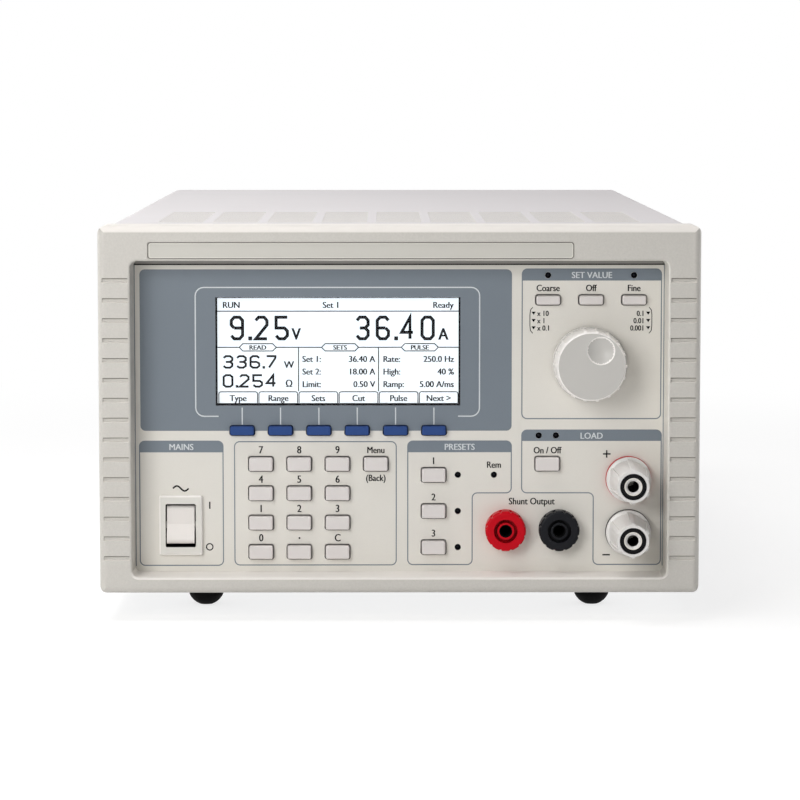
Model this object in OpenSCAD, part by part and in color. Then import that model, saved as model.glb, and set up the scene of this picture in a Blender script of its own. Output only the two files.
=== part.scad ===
// Bench DC electronic load in a half-rack case with a recessed control panel.
// X runs to the right as seen from the front, Y from the front to the back, Z up.
// Pieces are drawn in case coordinates (bezel face at y = 0, case bottom at z = 0)
// and in_frame() then stands the whole load on the floor, centred over the origin.

/* [Case] */
// Width of the front bezel
case_w = 212; // [206:1:236]
// Height of the bezel, without the feet
case_h = 130; // [126:1:150]
// Depth from the bezel's face to the rear edge of the cover
case_d = 400; // [370:1:460]
// Thickness of the cover's sheet
cover_t = 1.2; // [0.8:0.1:2]
// Step from the bezel's outline in to the cover
cover_step = 1; // [0.5:0.25:2]
// Outside radius of the cover's two top bends
cover_bend_r = 4; // [2.5:0.5:8]
// Thickness of the chassis and rear panel sheet
sheet_t = 1.5; // [1:0.1:2.5]
// Height of the chassis flanges
flange_h = 14; // [10:0.5:16]
// Distance from the rear edge of the cover in to the rear panel
rear_inset = 2.5; // [1:0.5:6]

/* [Feet] */
// Height that the feet lift the case
foot_h = 10; // [6:0.5:16]
// Radius of a foot where it meets the case
foot_r = 6.2; // [5.5:0.1:9]
// Radius of the flat that a foot stands on
foot_pad_r = 2.5; // [2:0.1:4]
// Distance of the feet from the centre line
foot_x = 70.5; // [50:0.5:80]
// Distance of the front feet from the bezel's face, and of the rear feet from the cover's end
foot_inset = 42; // [34:1:50]

/* [Vents] */
// Columns of slots in the cover's top
vent_columns = 9; // [3:1:9]
// Rows of slots
vent_rows = 13; // [4:1:16]
// Length of a slot
vent_slot_l = 16.5; // [8:0.5:17]
// Width of a slot
vent_slot_w = 3.2; // [1.5:0.1:4.5]
// Distance between columns
vent_pitch_x = 19.8; // [18.5:0.1:21]
// Distance between rows
vent_pitch_y = 7.4; // [6:0.1:10]
// Distance of the first row behind the bezel's face
vent_start = 43; // [35:1:70]
// Height of the slots in the cover's sides
side_slot_h = 42; // [20:1:60]

/* [Bezel] */
// Depth of the bezel moulding
bezel_d = 18; // [17:0.5:22]
// Corner radius seen from the front
bezel_corner_r = 3; // [2.5:0.5:6]
// Rounding of the front edges
bezel_edge_r = 2.5; // [1:0.5:3]
// Wall of the moulding
bezel_wall = 2.5; // [1.5:0.25:3]
// Depth of the panel's face behind the bezel's face
recess = 13; // [10:0.5:14]
// Width of the bezel on each side of the opening
flank_w = 11.5; // [10.5:0.5:13]
// Height of the bezel under the opening
sill_h = 5.7; // [5:0.1:7]
// Height of the bezel over the opening
brow_h = 12.4; // [11:0.1:14]
// Corner radius of the opening
opening_r = 2.3; // [1:0.1:4]
// Rounding of the opening's front edge
mouth_r = 0.8; // [0.4:0.1:1.2]
// Draft of the opening's walls
mouth_draft = 0.3; // [0.1:0.05:0.6]
// Grip grooves on each side
groove_count = 15; // [5:1:15]
// Distance between grooves
groove_pitch = 7.02; // [4:0.02:7.1]
// Height of a groove
groove_h = 1.75; // [1:0.05:3]
// Length of a groove
groove_w = 9; // [5:0.1:9.5]
// Depth of a groove
groove_depth = 0.9; // [0.4:0.1:1.5]
// Length of the bare name strip's recess
strip_w = 149.7; // [80:0.1:160]
// Height of the name strip's recess
strip_h = 6.1; // [4:0.1:7]
// Depth of the name strip's recess
strip_depth = 0.6; // [0.2:0.1:0.8]
// Distance of the name strip from the left edge of the case
strip_x0 = 17.6; // [14:0.1:30]
// Distance of the name strip's middle below the top of the case
strip_drop = 8.7; // [7:0.1:9.5]

/* [Front panel] */
// Thickness of the panel
panel_t = 2.5; // [1.5:0.1:3]
// Width of the step in the bezel that the panel rests against
panel_lip = 1.5; // [1:0.1:1.8]
// Clearance round the panel in the bezel
panel_gap = 0.2; // [0.1:0.05:0.4]
// Distance from the back of the panel to the board behind it
board_gap = 6.5; // [6:0.1:9]
// Thickness of the circuit boards
board_t = 1.6; // [1:0.1:2.4]
// Radius of the bosses that carry the board
boss_r = 2.6; // [2.2:0.1:2.8]
// Radius of the small screws
screw_r = 1.25; // [1:0.05:1.4]
// Clearance of a screw or stud in its hole
screw_gap = 0.1; // [0.05:0.05:0.2]

/* [Display] */
// Width of the clear window
display_w = 87; // [70:0.5:90]
// Height of the clear window
display_h = 38.6; // [30:0.2:40]
// Middle of the display from the middle of the panel
display_x0 = -21.8; // [-24:0.1:-18]
// Middle of the display above the bottom of the opening
display_z0 = 79.1; // [77:0.1:81]
// Width of the rim behind the panel that holds the window
window_rim = 2.6; // [1.5:0.1:3.5]
// Thickness of that rim
window_rim_t = 1.5; // [1:0.1:2]
// Depth of the window's face behind the panel's face
window_sink = 0.3; // [0.1:0.1:0.8]
// Air gap between the window and the display module
window_air = 0.4; // [0.2:0.1:0.6]
// Rim of the display module beyond the window
module_rim = 4.6; // [3:0.1:4.8]

/* [Keys] */
// Width of a key
key_w = 8.4; // [7:0.1:9]
// Height of a keypad key
key_h = 4.8; // [4:0.1:5.5]
// Height of a soft key
soft_key_h = 3.2; // [2.6:0.1:3.6]
// Corner radius of a key
key_r = 0.7; // [0.3:0.1:1]
// Rounding of a key's front edges
key_edge_r = 0.5; // [0.2:0.1:0.8]
// Height of a key above the panel
key_proud = 2.5; // [1.6:0.1:3.5]
// Travel of a key
key_travel = 1; // [0.5:0.1:1.2]
// Gap round a key in the panel
key_gap = 0.45; // [0.2:0.05:0.5]
// Flange behind the panel that keeps a key in
key_flange = 0.9; // [0.6:0.1:1.2]
// Thickness of that flange
key_flange_t = 1; // [0.6:0.1:1.2]
// Radius of a key's stem
key_stem_r = 1.4; // [1:0.1:1.6]
// Side of a square key switch
switch_w = 6; // [5:0.1:6.2]
// Height of a key switch
switch_h = 3.5; // [3:0.1:3.8]
// Distance between keypad and soft key columns
key_pitch_x = 13.64; // [12.5:0.02:14]
// Distance between keypad rows
key_pitch_z = 10.53; // [9.5:0.01:11]
// First keypad column from the middle of the panel
keypad_x0 = -49.3; // [-51:0.1:-46]
// Lowest keypad row above the bottom of the opening
keypad_z0 = 7.4; // [6.8:0.1:9]
// Soft keys below the middle of the display
soft_key_drop = 28.1; // [27.5:0.1:30]
// Level keys from the middle of the panel
level_x0 = 12.2; // [10:0.1:14]
// Lowest level key above the bottom of the opening
level_z0 = 9; // [7.8:0.1:10]
// Distance between level keys
level_pitch = 13; // [11:0.1:13.5]
// Adjust keys above the knob's axis
adjust_rise = 22.55; // [21:0.05:24]
// Distance between adjust keys
adjust_pitch = 15.25; // [13:0.05:16]
// Middle adjust key from the knob's axis
adjust_shift = 0.5; // [-1:0.1:1]
// Input key from the middle of the panel
input_x0 = 52.7; // [50:0.1:55]
// Input key above the bottom of the opening
input_z0 = 39; // [37.5:0.1:40.5]

/* [Indicators] */
// Radius of an indicator
led_r = 1.0; // [0.8:0.05:1.4]
// Clearance round an indicator in the panel
led_gap = 0.12; // [0.05:0.01:0.2]
// Depth of an indicator's tip behind the panel's face
led_sink = 0.3; // [0.1:0.1:0.8]
// Indicator beside a level key, from the key's middle
level_led_x = 8.65; // [7.5:0.05:9]
// Indicator of the remote level, from the level keys' middle
remote_led_x = 21.5; // [20:0.1:22]
// Adjust indicators above the adjust keys
adjust_led_rise = 8.75; // [6:0.05:9]
// Input indicators above the input key
input_led_rise = 10.1; // [8:0.1:11]
// Distance between the two input indicators
input_led_pitch = 6.1; // [5:0.1:8]

/* [Knob] */
// Knob from the middle of the panel
knob_x0 = 67.5; // [65:0.1:69]
// Knob's axis above the bottom of the opening
knob_z0 = 74.9; // [73:0.1:76]
// Radius of the knob's skirt
knob_r = 13.1; // [10:0.1:14]
// Length of the knob
knob_l = 14; // [11:0.5:18]
// Gap between the knob and the panel
knob_gap = 1; // [0.6:0.1:1.5]
// Length of the smooth skirt
skirt_l = 3; // [2:0.1:4]
// Depth of the grooves between the grip ribs
rib_depth = 0.35; // [0.2:0.05:0.6]
// Grip ribs round the knob
rib_count = 18; // [10:1:24]
// Radius of a grip rib
rib_r = 0.5; // [0.4:0.05:0.8]
// Narrowing of the knob's body from the skirt to the front
knob_taper = 0.6; // [0.2:0.1:1]
// Radius of the finger dimple
dimple_r = 5; // [3:0.1:5]
// Depth of the finger dimple
dimple_depth = 1.9; // [0.8:0.1:2]
// Distance of the dimple from the knob's axis
dimple_x = 6.4; // [5.5:0.1:7]
// Angle of the dimple, from the right
dimple_angle = 60; // [0:5:355]
// Radius of the encoder's shaft
shaft_r = 3; // [2:0.1:3.2]
// Running clearance of the shaft
shaft_gap = 0.05; // [0.02:0.01:0.1]
// Wall of the encoder's bush
bush_wall = 0.8; // [0.6:0.1:1.2]
// Length of the bush in front of the panel
bush_l = 4.5; // [3.5:0.1:5]
// Side of the encoder's square body
encoder_w = 12.6; // [11:0.1:14]
// Thickness of the encoder's nut
nut_t = 2.2; // [1.5:0.1:2.5]

/* [Power switch] */
// Power switch from the middle of the panel
power_x0 = -77.9; // [-79:0.1:-77]
// Power switch above the bottom of the opening
power_z0 = 17.05; // [16.3:0.05:18.3]
// Width of the switch's frame
frame_w = 15.4; // [14.8:0.1:16.5]
// Height of the switch's frame
frame_h = 21.5; // [20:0.1:22]
// Height of the frame above the panel
frame_proud = 2; // [1.5:0.1:3]
// Border of the frame round the rocker
frame_border_x = 2.3; // [2:0.05:2.7]
// Border of the frame above and below the rocker
frame_border_z = 3; // [2.5:0.1:3.4]
// Gap between the rocker and the frame
rocker_gap = 0.5; // [0.3:0.05:0.6]
// Angle of each half of the rocker's face
rocker_tilt = 11; // [8:0.5:12]
// Distance from the rocker's pivot to the middle of its face
rocker_rise = 2.5; // [2:0.1:3]
// Rounding of the rocker's two lips
rocker_lip_r = 1.6; // [0.5:0.1:1.8]
// Radius of the rocker's pivots
pivot_r = 1.2; // [0.8:0.05:1.4]
// Running clearance of the pivots
pivot_gap = 0.05; // [0.02:0.01:0.1]
// Length of the switch body behind the panel
switch_body_l = 18; // [14:0.5:24]

/* [Input terminals] */
// Input posts from the middle of the panel
post_x0 = 81.65; // [81:0.05:82.5]
// Lower post above the bottom of the opening
post_z0 = 14.5; // [13.3:0.1:15.3]
// Distance between paired terminals
terminal_pitch = 19.05; // [19:0.05:20]
// Radius of the 4 mm sockets
socket_bore_r = 2; // [1.9:0.05:2.1]
// Depth of the 4 mm sockets
socket_bore_l = 20; // [14:0.5:22]
// Height of a post above the panel
post_l = 25; // [23:0.5:28]
// Radius of a post's metal stud
stud_r = 3.6; // [3:0.05:3.7]
// Widening of a post's socket at its mouth
socket_lead = 0.75; // [0.2:0.05:0.8]
// Length of a stud behind the panel
stud_tail = 18; // [14:0.5:24]
// Outside radius of a post's liner
liner_r = 4.6; // [4.4:0.05:4.8]
// Running clearance of the liner and cap
liner_gap = 0.08; // [0.04:0.01:0.1]
// Radius of a cap's front end
cap_tip_r = 5.6; // [5.4:0.1:6]
// Radius of a cap's body at its base
cap_base_r = 7; // [6.6:0.1:7.2]
// Radius of a cap's base flange
cap_flange_r = 8; // [7.6:0.1:8.2]
// Thickness of a cap's base flange
cap_flange_t = 2; // [1.2:0.1:3]
// Grip ribs round a cap
cap_ribs = 6; // [4:1:8]
// Width of a grip rib
cap_rib_w = 1.5; // [1:0.1:2]
// Height of a grip rib
cap_rib_h = 0.6; // [0.3:0.1:0.8]
// Radius of the coloured collar behind a cap
collar_r = 8.15; // [8.1:0.05:8.8]
// Thickness of the collar in front of the panel
collar_t = 1.6; // [1:0.1:2.5]
// Radius of a collar's sleeve through the panel
sleeve_r = 4.9; // [4.4:0.1:5.4]
// Thickness of the insulating washer behind the panel
washer_t = 2; // [1:0.1:3]

/* [Monitor sockets] */
// Black monitor socket from the middle of the panel
monitor_x0 = 56.85; // [56:0.05:58]
// Monitor sockets above the bottom of the opening
monitor_z0 = 15.4; // [14.3:0.1:16.3]
// Radius of a monitor socket's head
head_r = 7.2; // [6.8:0.1:7.6]
// Height of the head above the panel
head_l = 6; // [4:0.1:7]
// Radius of the ring-shaped recess in the head
head_recess_r = 4.2; // [3.9:0.1:5]
// Radius of the tube in the middle of the head
head_tube_r = 3; // [2.9:0.05:3.2]
// Wall of the metal contact
contact_wall = 0.3; // [0.2:0.05:0.4]
// Radius of the socket's body behind the panel
barrel_r = 5.8; // [5:0.1:6.2]
// Length of the body behind the panel
barrel_l = 14; // [11:0.5:18]

/* [Cooling] */
// Side of the square fan
fan_w = 92; // [80:1:92]
// Thickness of the fan
fan_t = 25.4; // [20:0.1:25.4]
// Fan from the left edge of the case
fan_x0 = 56; // [55:0.5:58]
// Fan above the case bottom
fan_z0 = 66; // [64:0.5:68]
// Radius of the fan's hub
hub_r = 19; // [15:0.5:21]
// Fan blades
blade_count = 7; // [5:1:9]
// Pitch of the blades
blade_pitch = 38; // [30:1:45]
// Gap at the tips of the blades
tip_gap = 1; // [0.6:0.1:2]
// Radius of the fan's shaft
fan_shaft_r = 1.5; // [1:0.1:2]
// Length of the heatsink
heatsink_l = 214; // [150:1:215]
// Width and height of the heatsink
heatsink_w = 88; // [80:1:90]
// Wall of the heatsink
heatsink_wall = 4; // [3:0.1:5]
// Distance between fins
fin_pitch = 6; // [5:0.1:8]
// Thickness of a fin
fin_t = 1.6; // [1:0.1:2.4]
// Power transistors on the heatsink
transistor_count = 6; // [2:1:6]

/* [Rear panel] */
// Mains inlet from the right edge of the case
inlet_x0 = 34; // [33:0.5:38]
// Mains inlet below the top of the case
inlet_drop = 24; // [22:0.5:28]
// Interface board above the case bottom
card_z = 63; // [60:0.5:66]
// Gap between the fan and the interface board
card_fan_gap = 11; // [8:0.5:14]
// Gap between the interface board and the chassis flange
card_side_gap = 7.2; // [5:0.1:10]
// Rear terminal on the right, from the middle of the interface board
rear_x0 = 27; // [25:0.5:29]
// Distance between the rear terminals
rear_pitch = 50; // [40:1:52]
// Rear terminals above the case bottom
rear_z0 = 38; // [36:0.5:40]
// Radius of the rear terminals
rear_stud_r = 4; // [3:0.1:4]
// Length of a rear terminal behind the rear panel
rear_stud_l = 25.5; // [20:0.5:32]

/* [Hidden] */
$fn = 64;
blend_fn = 32;
cut = 0.05;
mouth_steps = 3;

shell_grey = [0.80, 0.79, 0.77];
panel_grey = [0.84, 0.83, 0.81];
cover_grey = [0.72, 0.72, 0.70];
key_white = [0.92, 0.92, 0.90];
soft_key_blue = [0.22, 0.35, 0.66];
cap_white = [0.93, 0.93, 0.92];
switch_white = [0.88, 0.87, 0.85];
signal_red = [0.85, 0.08, 0.10];
deep_black = [0.06, 0.06, 0.07];
bare_steel = [0.72, 0.73, 0.74];
bare_brass = [0.80, 0.66, 0.34];
board_green = [0.08, 0.30, 0.16];

// Case outline
left = -case_w / 2;
right = case_w / 2;
opening_w = case_w - 2 * flank_w;
opening_h = case_h - sill_h - brow_h;
opening_z = sill_h + opening_h / 2;
panel_w = opening_w + 2 * panel_lip;
panel_h = opening_h + 2 * panel_lip;
panel_back = recess + panel_t;
board_y = panel_back + board_gap;
cover_w = case_w - 2 * cover_step;
cover_top = case_h - cover_step / 2;
chassis_z = cover_step;
floor_z = chassis_z + sheet_t;
fit_gap = 0.1;
seat_gap = 0.05;
chassis_w = cover_w - 2 * cover_t - 2 * fit_gap;
rear_out = case_d - rear_inset;
rear_in = rear_out - sheet_t;
rear_low = floor_z;
rear_high = cover_top - cover_t - fit_gap;

// Places on the front panel. They are given for an opening of layout_w by layout_h,
// and spread or close up with the real opening
layout_w = 189;
layout_h = 111.9;
fit_x = opening_w / layout_w;
fit_z = opening_h / layout_h;
function across(x0) = x0 * fit_x;
function above_sill(z0) = sill_h + z0 * fit_z;
display_x = across(display_x0);
display_z = above_sill(display_z0);
window_w = across(display_w);
window_h = display_h * fit_z;
soft_key_z = display_z - soft_key_drop * fit_z;
key_step_x = across(key_pitch_x);
key_step_z = key_pitch_z * fit_z;
keypad_x = across(keypad_x0);
keypad_z = above_sill(keypad_z0);
level_x = across(level_x0);
level_z = above_sill(level_z0);
level_step = level_pitch * fit_z;
knob_x = across(knob_x0);
knob_z = above_sill(knob_z0);
adjust_x = knob_x + adjust_shift;
adjust_z = knob_z + adjust_rise * fit_z;
adjust_step = across(adjust_pitch);
input_x = across(input_x0);
input_z = above_sill(input_z0);
power_x = across(power_x0);
power_z = above_sill(power_z0);
post_x = across(post_x0);
post_z = above_sill(post_z0);
monitor_x = across(monitor_x0);
monitor_z = above_sill(monitor_z0);
fan_x = left + fan_x0;

// Name, x, z, height and colour of every key
digit_names = [["7", "8", "9"], ["4", "5", "6"], ["1", "2", "3"], ["0", "point", "clear"]];
level_names = ["level_key_c", "level_key_b", "level_key_a"];
adjust_names = ["adjust_level_key", "adjust_off_key", "adjust_pulse_key"];
SOFT_KEYS = [for (i = [0:5])
    [str("soft_key_", i + 1), display_x + (i - 2.5) * key_step_x, soft_key_z, soft_key_h, soft_key_blue]];
DIGIT_KEYS = [for (row = [0:3], col = [0:2])
    [str("key_", digit_names[row][col]), keypad_x + col * key_step_x,
     keypad_z + (3 - row) * key_step_z, key_h, key_white]];
OTHER_KEYS = concat(
    [["home_key", keypad_x + 3 * key_step_x, keypad_z + 3 * key_step_z, key_h, key_white]],
    [for (i = [0:2]) [adjust_names[i], adjust_x + (i - 1) * adjust_step, adjust_z, soft_key_h, key_white]],
    [for (i = [0:2]) [level_names[i], level_x, level_z + i * level_step, key_h, key_white]],
    [["input_key", input_x, input_z, key_h, key_white]]);
KEYS = concat(SOFT_KEYS, DIGIT_KEYS, OTHER_KEYS);

// Indicator places, x and z
LEDS = concat(
    [for (i = [-1, 1]) [adjust_x + i * adjust_step, adjust_z + adjust_led_rise * fit_z]],
    [for (i = [-1, 1]) [input_x + i * input_led_pitch / 2, input_z + input_led_rise * fit_z]],
    [for (i = [0:2]) [level_x + level_led_x, level_z + i * level_step]],
    [[level_x + across(remote_led_x), level_z + 2 * level_step]]);

// Terminal places, x and z; the positive one of each pair comes first
POSTS = [[post_x, post_z + terminal_pitch], [post_x, post_z]];
MONITORS = [[monitor_x - terminal_pitch, monitor_z], [monitor_x, monitor_z]];

// Board behind the front panel
module_w = window_w + 2 * module_rim;
module_h = window_h + 2 * module_rim;
board_margin = 3;
board_left_high = display_x - module_w / 2 - 8;
board_left_low = keypad_x - 12.3;
board_right = opening_w / 2 - board_margin;
board_top = sill_h + opening_h - board_margin;
board_bottom = sill_h + board_margin;
board_step_z = soft_key_z + 2;
notch_x = MONITORS[0][0] - head_r - 1.5;
notch_z = monitor_z + head_r + 3;
post_notch_x = post_x - collar_r - 3;
post_notch_z = POSTS[0][1] + collar_r + 3;
boss_in = boss_r + 1;
BOSSES = [
    [board_left_high + boss_in, board_top - boss_in],
    [board_left_high + boss_in, display_z - window_h / 2],
    [board_right - boss_in, knob_z + encoder_w / 2],
    [board_right - boss_in, post_notch_z + 2 * boss_in],
    [board_left_low + boss_in, board_bottom + boss_in],
    [notch_x - boss_in, board_bottom + boss_in]];
head_t = 1.5;
foot_head_t = 2;

// Keys
key_back = panel_back + 0.2;
switch_y = board_y - switch_h;
key_dip = 0.8;
switch_bore_gap = 0.3;

// Power switch
pivot_y = recess - frame_proud + rocker_rise + 0.5;
frame_in_w = frame_w - 2 * frame_border_x;
frame_in_h = frame_h - 2 * frame_border_z;
body_gap = 0.15;
switch_body_w = frame_w - 2.6;
switch_body_h = frame_h - 2.4;
rocker_w = frame_in_w - 2 * rocker_gap;
// The tips of the rocker swing outward as they go in, so they stop short of the frame
rocker_half = frame_in_h / 2 - rocker_gap - 0.4;
well_back = pivot_y + 6;

// Knob and encoder
knob_back = recess - knob_gap;
knob_front = knob_back - knob_l;
knob_well = bush_l - knob_gap + 0.8;
shaft_end = board_y - 1.5;
bush_r = shaft_r + shaft_gap + bush_wall;
dimple_ball_r = (dimple_r * dimple_r + dimple_depth * dimple_depth) / (2 * dimple_depth);

// Posts, from the front
post_front = recess - post_l;
cap_back = recess - collar_t - 0.2;
stud_sink = 0.4;
liner_back = cap_back - 5;
liner_sink = 0.2;
washer_r = 7.4;
post_nut_t = 4;
post_nut_af = 11;

// Monitor sockets
head_front = recess - head_l;
contact_r = socket_bore_r + contact_wall;
contact_front = head_front + 1.2;
barrel_nut_t = 4;
barrel_nut_af = 15.4;

// Fan, heatsink and inner pieces
fan_front = rear_in - fan_t;
fan_hole_r = fan_w / 2 - 2;
fan_screw_x = fan_w / 2 - 4.75;
fan_screw_r = 2;
strut_t = 3;
bearing_r = 4;
heatsink_back = fan_front - 3;
heatsink_front = heatsink_back - heatsink_l;
heatsink_low = fan_z0 - heatsink_w / 2;
heatsink_right = fan_x + heatsink_w / 2;
fin_count = floor((heatsink_w - 2 * heatsink_wall - fin_t) / fin_pitch);
stand_r = 4;
main_z = 18;
main_left = heatsink_right + 0.5;
main_right = chassis_w / 2 - sheet_t - 3;
main_front = 62;
main_rear_gap = 60;
main_back = rear_in - main_rear_gap;
main_top = main_z + board_t;
main_in = 6;
main_bar_in = 18;
transformer_w = 57;
transformer_l = 48;
transformer_h = 48;
transformer_x = left + 46;
transformer_y = 84;

// Rear connectors
inlet_x = right - inlet_x0;
inlet_z = case_h - inlet_drop;
inlet_flange = [50, 22.6];
inlet_body = [27.4, 19.8];
inlet_well = [24, 16.2];
inlet_well_l = 16;
inlet_screw_x = 20;
cutout_gap = 0.25;
card_left = fan_x + fan_w / 2 + card_fan_gap;
card_right = chassis_w / 2 - sheet_t - card_side_gap;
card_w = card_right - card_left;
card_x = (card_left + card_right) / 2;
card_layout_w = 88;
card_fit = card_w / card_layout_w;
card_l = 48;
port_z = card_z + board_t + seat_gap;
lan_x = card_x - 30 * card_fit;
lan_size = [16, 13.4];
lan_well = [11.8, 8.2];
usb_x = card_x - 5 * card_fit;
usb_size = [12, 10.8];
usb_well = [8.6, 7.8];
usb_tongue = [5.6, 3.2];
port_out = 0.6;
serial_x = card_x + 25 * card_fit;
serial_z = port_z + 7.4;
serial_shell = [17, 8.4];
serial_flange = [30.8, 12.6];
serial_out = 5.6;
REAR_STUDS = [card_x + (rear_x0 - rear_pitch) * card_fit, card_x + rear_x0 * card_fit];
rear_sleeve_r = rear_stud_r + 2;
rear_insulator_r = 12;
rear_insulator_t = 5;
rear_washer_t = 3;
bar_w = 16;
bar_t = 2;
rear_nut_t = 6.5;
rear_nut_af = 13;

// Stand the load on its feet, centred over the origin
front_most = post_front;
rear_most = rear_out + rear_stud_l;
module in_frame() { translate([0, -(front_most + rear_most) / 2, foot_h]) children(); }

// Front view profile (x, z) drawn out from y0 to y1
module front_extrude(y0, y1) { translate([0, y1, 0]) rotate([90, 0, 0]) linear_extrude(y1 - y0) children(); }
// Side view profile (y, z) drawn out from x0 to x1
module side_extrude(x0, x1) { translate([x0, 0, 0]) rotate([90, 0, 90]) linear_extrude(x1 - x0) children(); }
// Profile (radius, y) turned round the Y axis
module revolve_y() { rotate([-90, 0, 0]) rotate_extrude() children(); }
// Round bar along Y
module rod_y(r, y0, y1) { translate([0, y0, 0]) rotate([-90, 0, 0]) cylinder(h = y1 - y0, r = r); }
// Six-sided nut along Y
module nut_y(flats, hole_r, y0, y1) {
    difference() {
        translate([0, y0, 0]) rotate([-90, 0, 0]) cylinder(h = y1 - y0, r = flats / 2 / cos(30), $fn = 6);
        rod_y(hole_r, y0 - cut, y1 + cut);
    }
}
// Move to a place on the front view
module at(p) { translate([p[0], 0, p[1]]) children(); }

module rounded_rect(w, h, r) {
    square([w - 2 * r, h], center = true);
    square([w, h - 2 * r], center = true);
    for (x = [-1, 1], y = [-1, 1]) translate([x * (w / 2 - r), y * (h / 2 - r)]) circle(r);
}

// Block with rounded corners in front view and rounded front edges
module soft_block(w, h, y0, y1, corner_r, edge_r) {
    intersection() {
        front_extrude(y0, y1) rounded_rect(w, h, corner_r);
        side_extrude(-w, w) translate([y1, 0]) rounded_rect(2 * (y1 - y0), h, edge_r);
        translate([0, y1, -h]) linear_extrude(2 * h) rounded_rect(w, 2 * (y1 - y0), edge_r);
    }
}

// One slice of the bezel's opening at depth y, grown by g
module opening_slice(y, g) {
    at([0, opening_z]) front_extrude(y, y + cut)
        rounded_rect(opening_w + 2 * g, opening_h + 2 * g, opening_r + g, $fn = blend_fn);
}

// The opening: a rounded mouth, then walls with draft down to the panel
module bezel_mouth() {
    for (i = [0:mouth_steps - 1]) {
        from = 90 * i / mouth_steps;
        to = 90 * (i + 1) / mouth_steps;
        hull() {
            opening_slice(mouth_r * (1 - cos(from)) - cut, mouth_r * (1 - sin(from)));
            opening_slice(mouth_r * (1 - cos(to)) - cut, mouth_r * (1 - sin(to)));
        }
    }
    hull() {
        opening_slice(mouth_r - cut, 0);
        opening_slice(recess, -mouth_draft);
    }
}

// Grip grooves with sloping walls, from beside the opening's rounded edge outwards
module grip_grooves() {
    slope = groove_h / 4;
    inner_x = opening_w / 2 + mouth_r + 0.1;
    for (i = [0:groove_count - 1], x0 = [-inner_x - groove_w, inner_x])
        translate([0, 0, opening_z + (i - (groove_count - 1) / 2) * groove_pitch])
            side_extrude(x0, x0 + groove_w) polygon([
                [-cut, -groove_h / 2], [0, -groove_h / 2], [groove_depth, slope - groove_h / 2],
                [groove_depth, groove_h / 2 - slope], [0, groove_h / 2], [-cut, groove_h / 2]]);
}

// Hollow back of the moulding, beside and above the panel
module bezel_pockets() {
    inner_x = panel_w / 2 + panel_gap + bezel_wall / 2;
    pocket_w = right - bezel_wall - inner_x;
    skin_y = bezel_wall + groove_depth;
    for (side = [-1, 1])
        translate([side * (inner_x + pocket_w / 2), (skin_y + bezel_d + cut) / 2, opening_z])
            cube([pocket_w, bezel_d + cut - skin_y, opening_h], center = true);
    low_z = sill_h + opening_h + panel_lip + panel_gap + bezel_wall / 2;
    high_z = case_h - bezel_wall;
    translate([-opening_w / 2, skin_y, low_z]) cube([opening_w, bezel_d, high_z - low_z]);
}

module front_bezel() {
    color(shell_grey) difference() {
        at([0, case_h / 2]) soft_block(case_w, case_h, 0, bezel_d, bezel_corner_r, bezel_edge_r);
        bezel_mouth();
        at([0, opening_z]) front_extrude(recess, bezel_d + cut)
            rounded_rect(panel_w + 2 * panel_gap, panel_h + 2 * panel_gap, opening_r + panel_gap);
        grip_grooves();
        at([left + strip_x0 + strip_w / 2, case_h - strip_drop])
            front_extrude(-cut, strip_depth) rounded_rect(strip_w, strip_h, 1);
        bezel_pockets();
    }
}

module panel_cutouts() {
    for (k = KEYS) translate([k[1], k[2]]) rounded_rect(key_w + 2 * key_gap, k[3] + 2 * key_gap, key_r + key_gap);
    for (p = LEDS) translate(p) circle(led_r + led_gap);
    for (p = POSTS) translate(p) circle(sleeve_r + screw_gap);
    for (p = MONITORS) translate(p) circle(barrel_r + screw_gap);
    translate([knob_x, knob_z]) circle(bush_r + screw_gap);
    translate([display_x, display_z]) square([window_w, window_h], center = true);
    translate([power_x, power_z])
        square([switch_body_w + 2 * body_gap, switch_body_h + 2 * body_gap], center = true);
}

module front_panel() {
    color(panel_grey) {
        difference() {
            union() {
                front_extrude(recess, panel_back) difference() {
                    translate([0, opening_z]) rounded_rect(panel_w, panel_h, opening_r);
                    panel_cutouts();
                }
                for (p = BOSSES) at(p) rod_y(boss_r, panel_back - cut, board_y);
            }
            for (p = BOSSES) at(p) rod_y(screw_r + screw_gap, panel_back + 1, board_y + cut);
        }
    }
}

module lcd_window() {
    color([0.85, 0.92, 0.95, 0.4]) at([display_x, display_z]) {
        front_extrude(recess + window_sink, panel_back + cut)
            square([window_w - 2 * body_gap, window_h - 2 * body_gap], center = true);
        front_extrude(panel_back, panel_back + window_rim_t)
            square([window_w + 2 * window_rim, window_h + 2 * window_rim], center = true);
    }
}

module lcd_module() {
    color([0.88, 0.92, 0.94]) at([display_x, display_z])
        soft_block(module_w, module_h, panel_back + window_rim_t + window_air, board_y, 1, 0.5);
}

module board_outline() {
    polygon([
        [board_left_high, board_top], [board_right, board_top], [board_right, post_notch_z],
        [post_notch_x, post_notch_z], [post_notch_x, notch_z], [notch_x, notch_z],
        [notch_x, board_bottom], [board_left_low, board_bottom], [board_left_low, board_step_z],
        [board_left_high, board_step_z]]);
}

module panel_board() {
    color(board_green) front_extrude(board_y, board_y + board_t) difference() {
        board_outline();
        for (p = BOSSES) translate(p) circle(screw_r + screw_gap);
    }
}

module key_cap(k) {
    color(k[4]) at([k[1], k[2]]) {
        soft_block(key_w, k[3], recess - key_proud, key_back + cut, key_r, key_edge_r);
        front_extrude(key_back, key_back + key_flange_t)
            rounded_rect(key_w + 2 * (key_gap + key_flange), k[3] + 2 * (key_gap + key_flange), key_r);
        rod_y(key_stem_r, key_back + key_flange_t - cut, switch_y + key_dip);
    }
}

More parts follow.
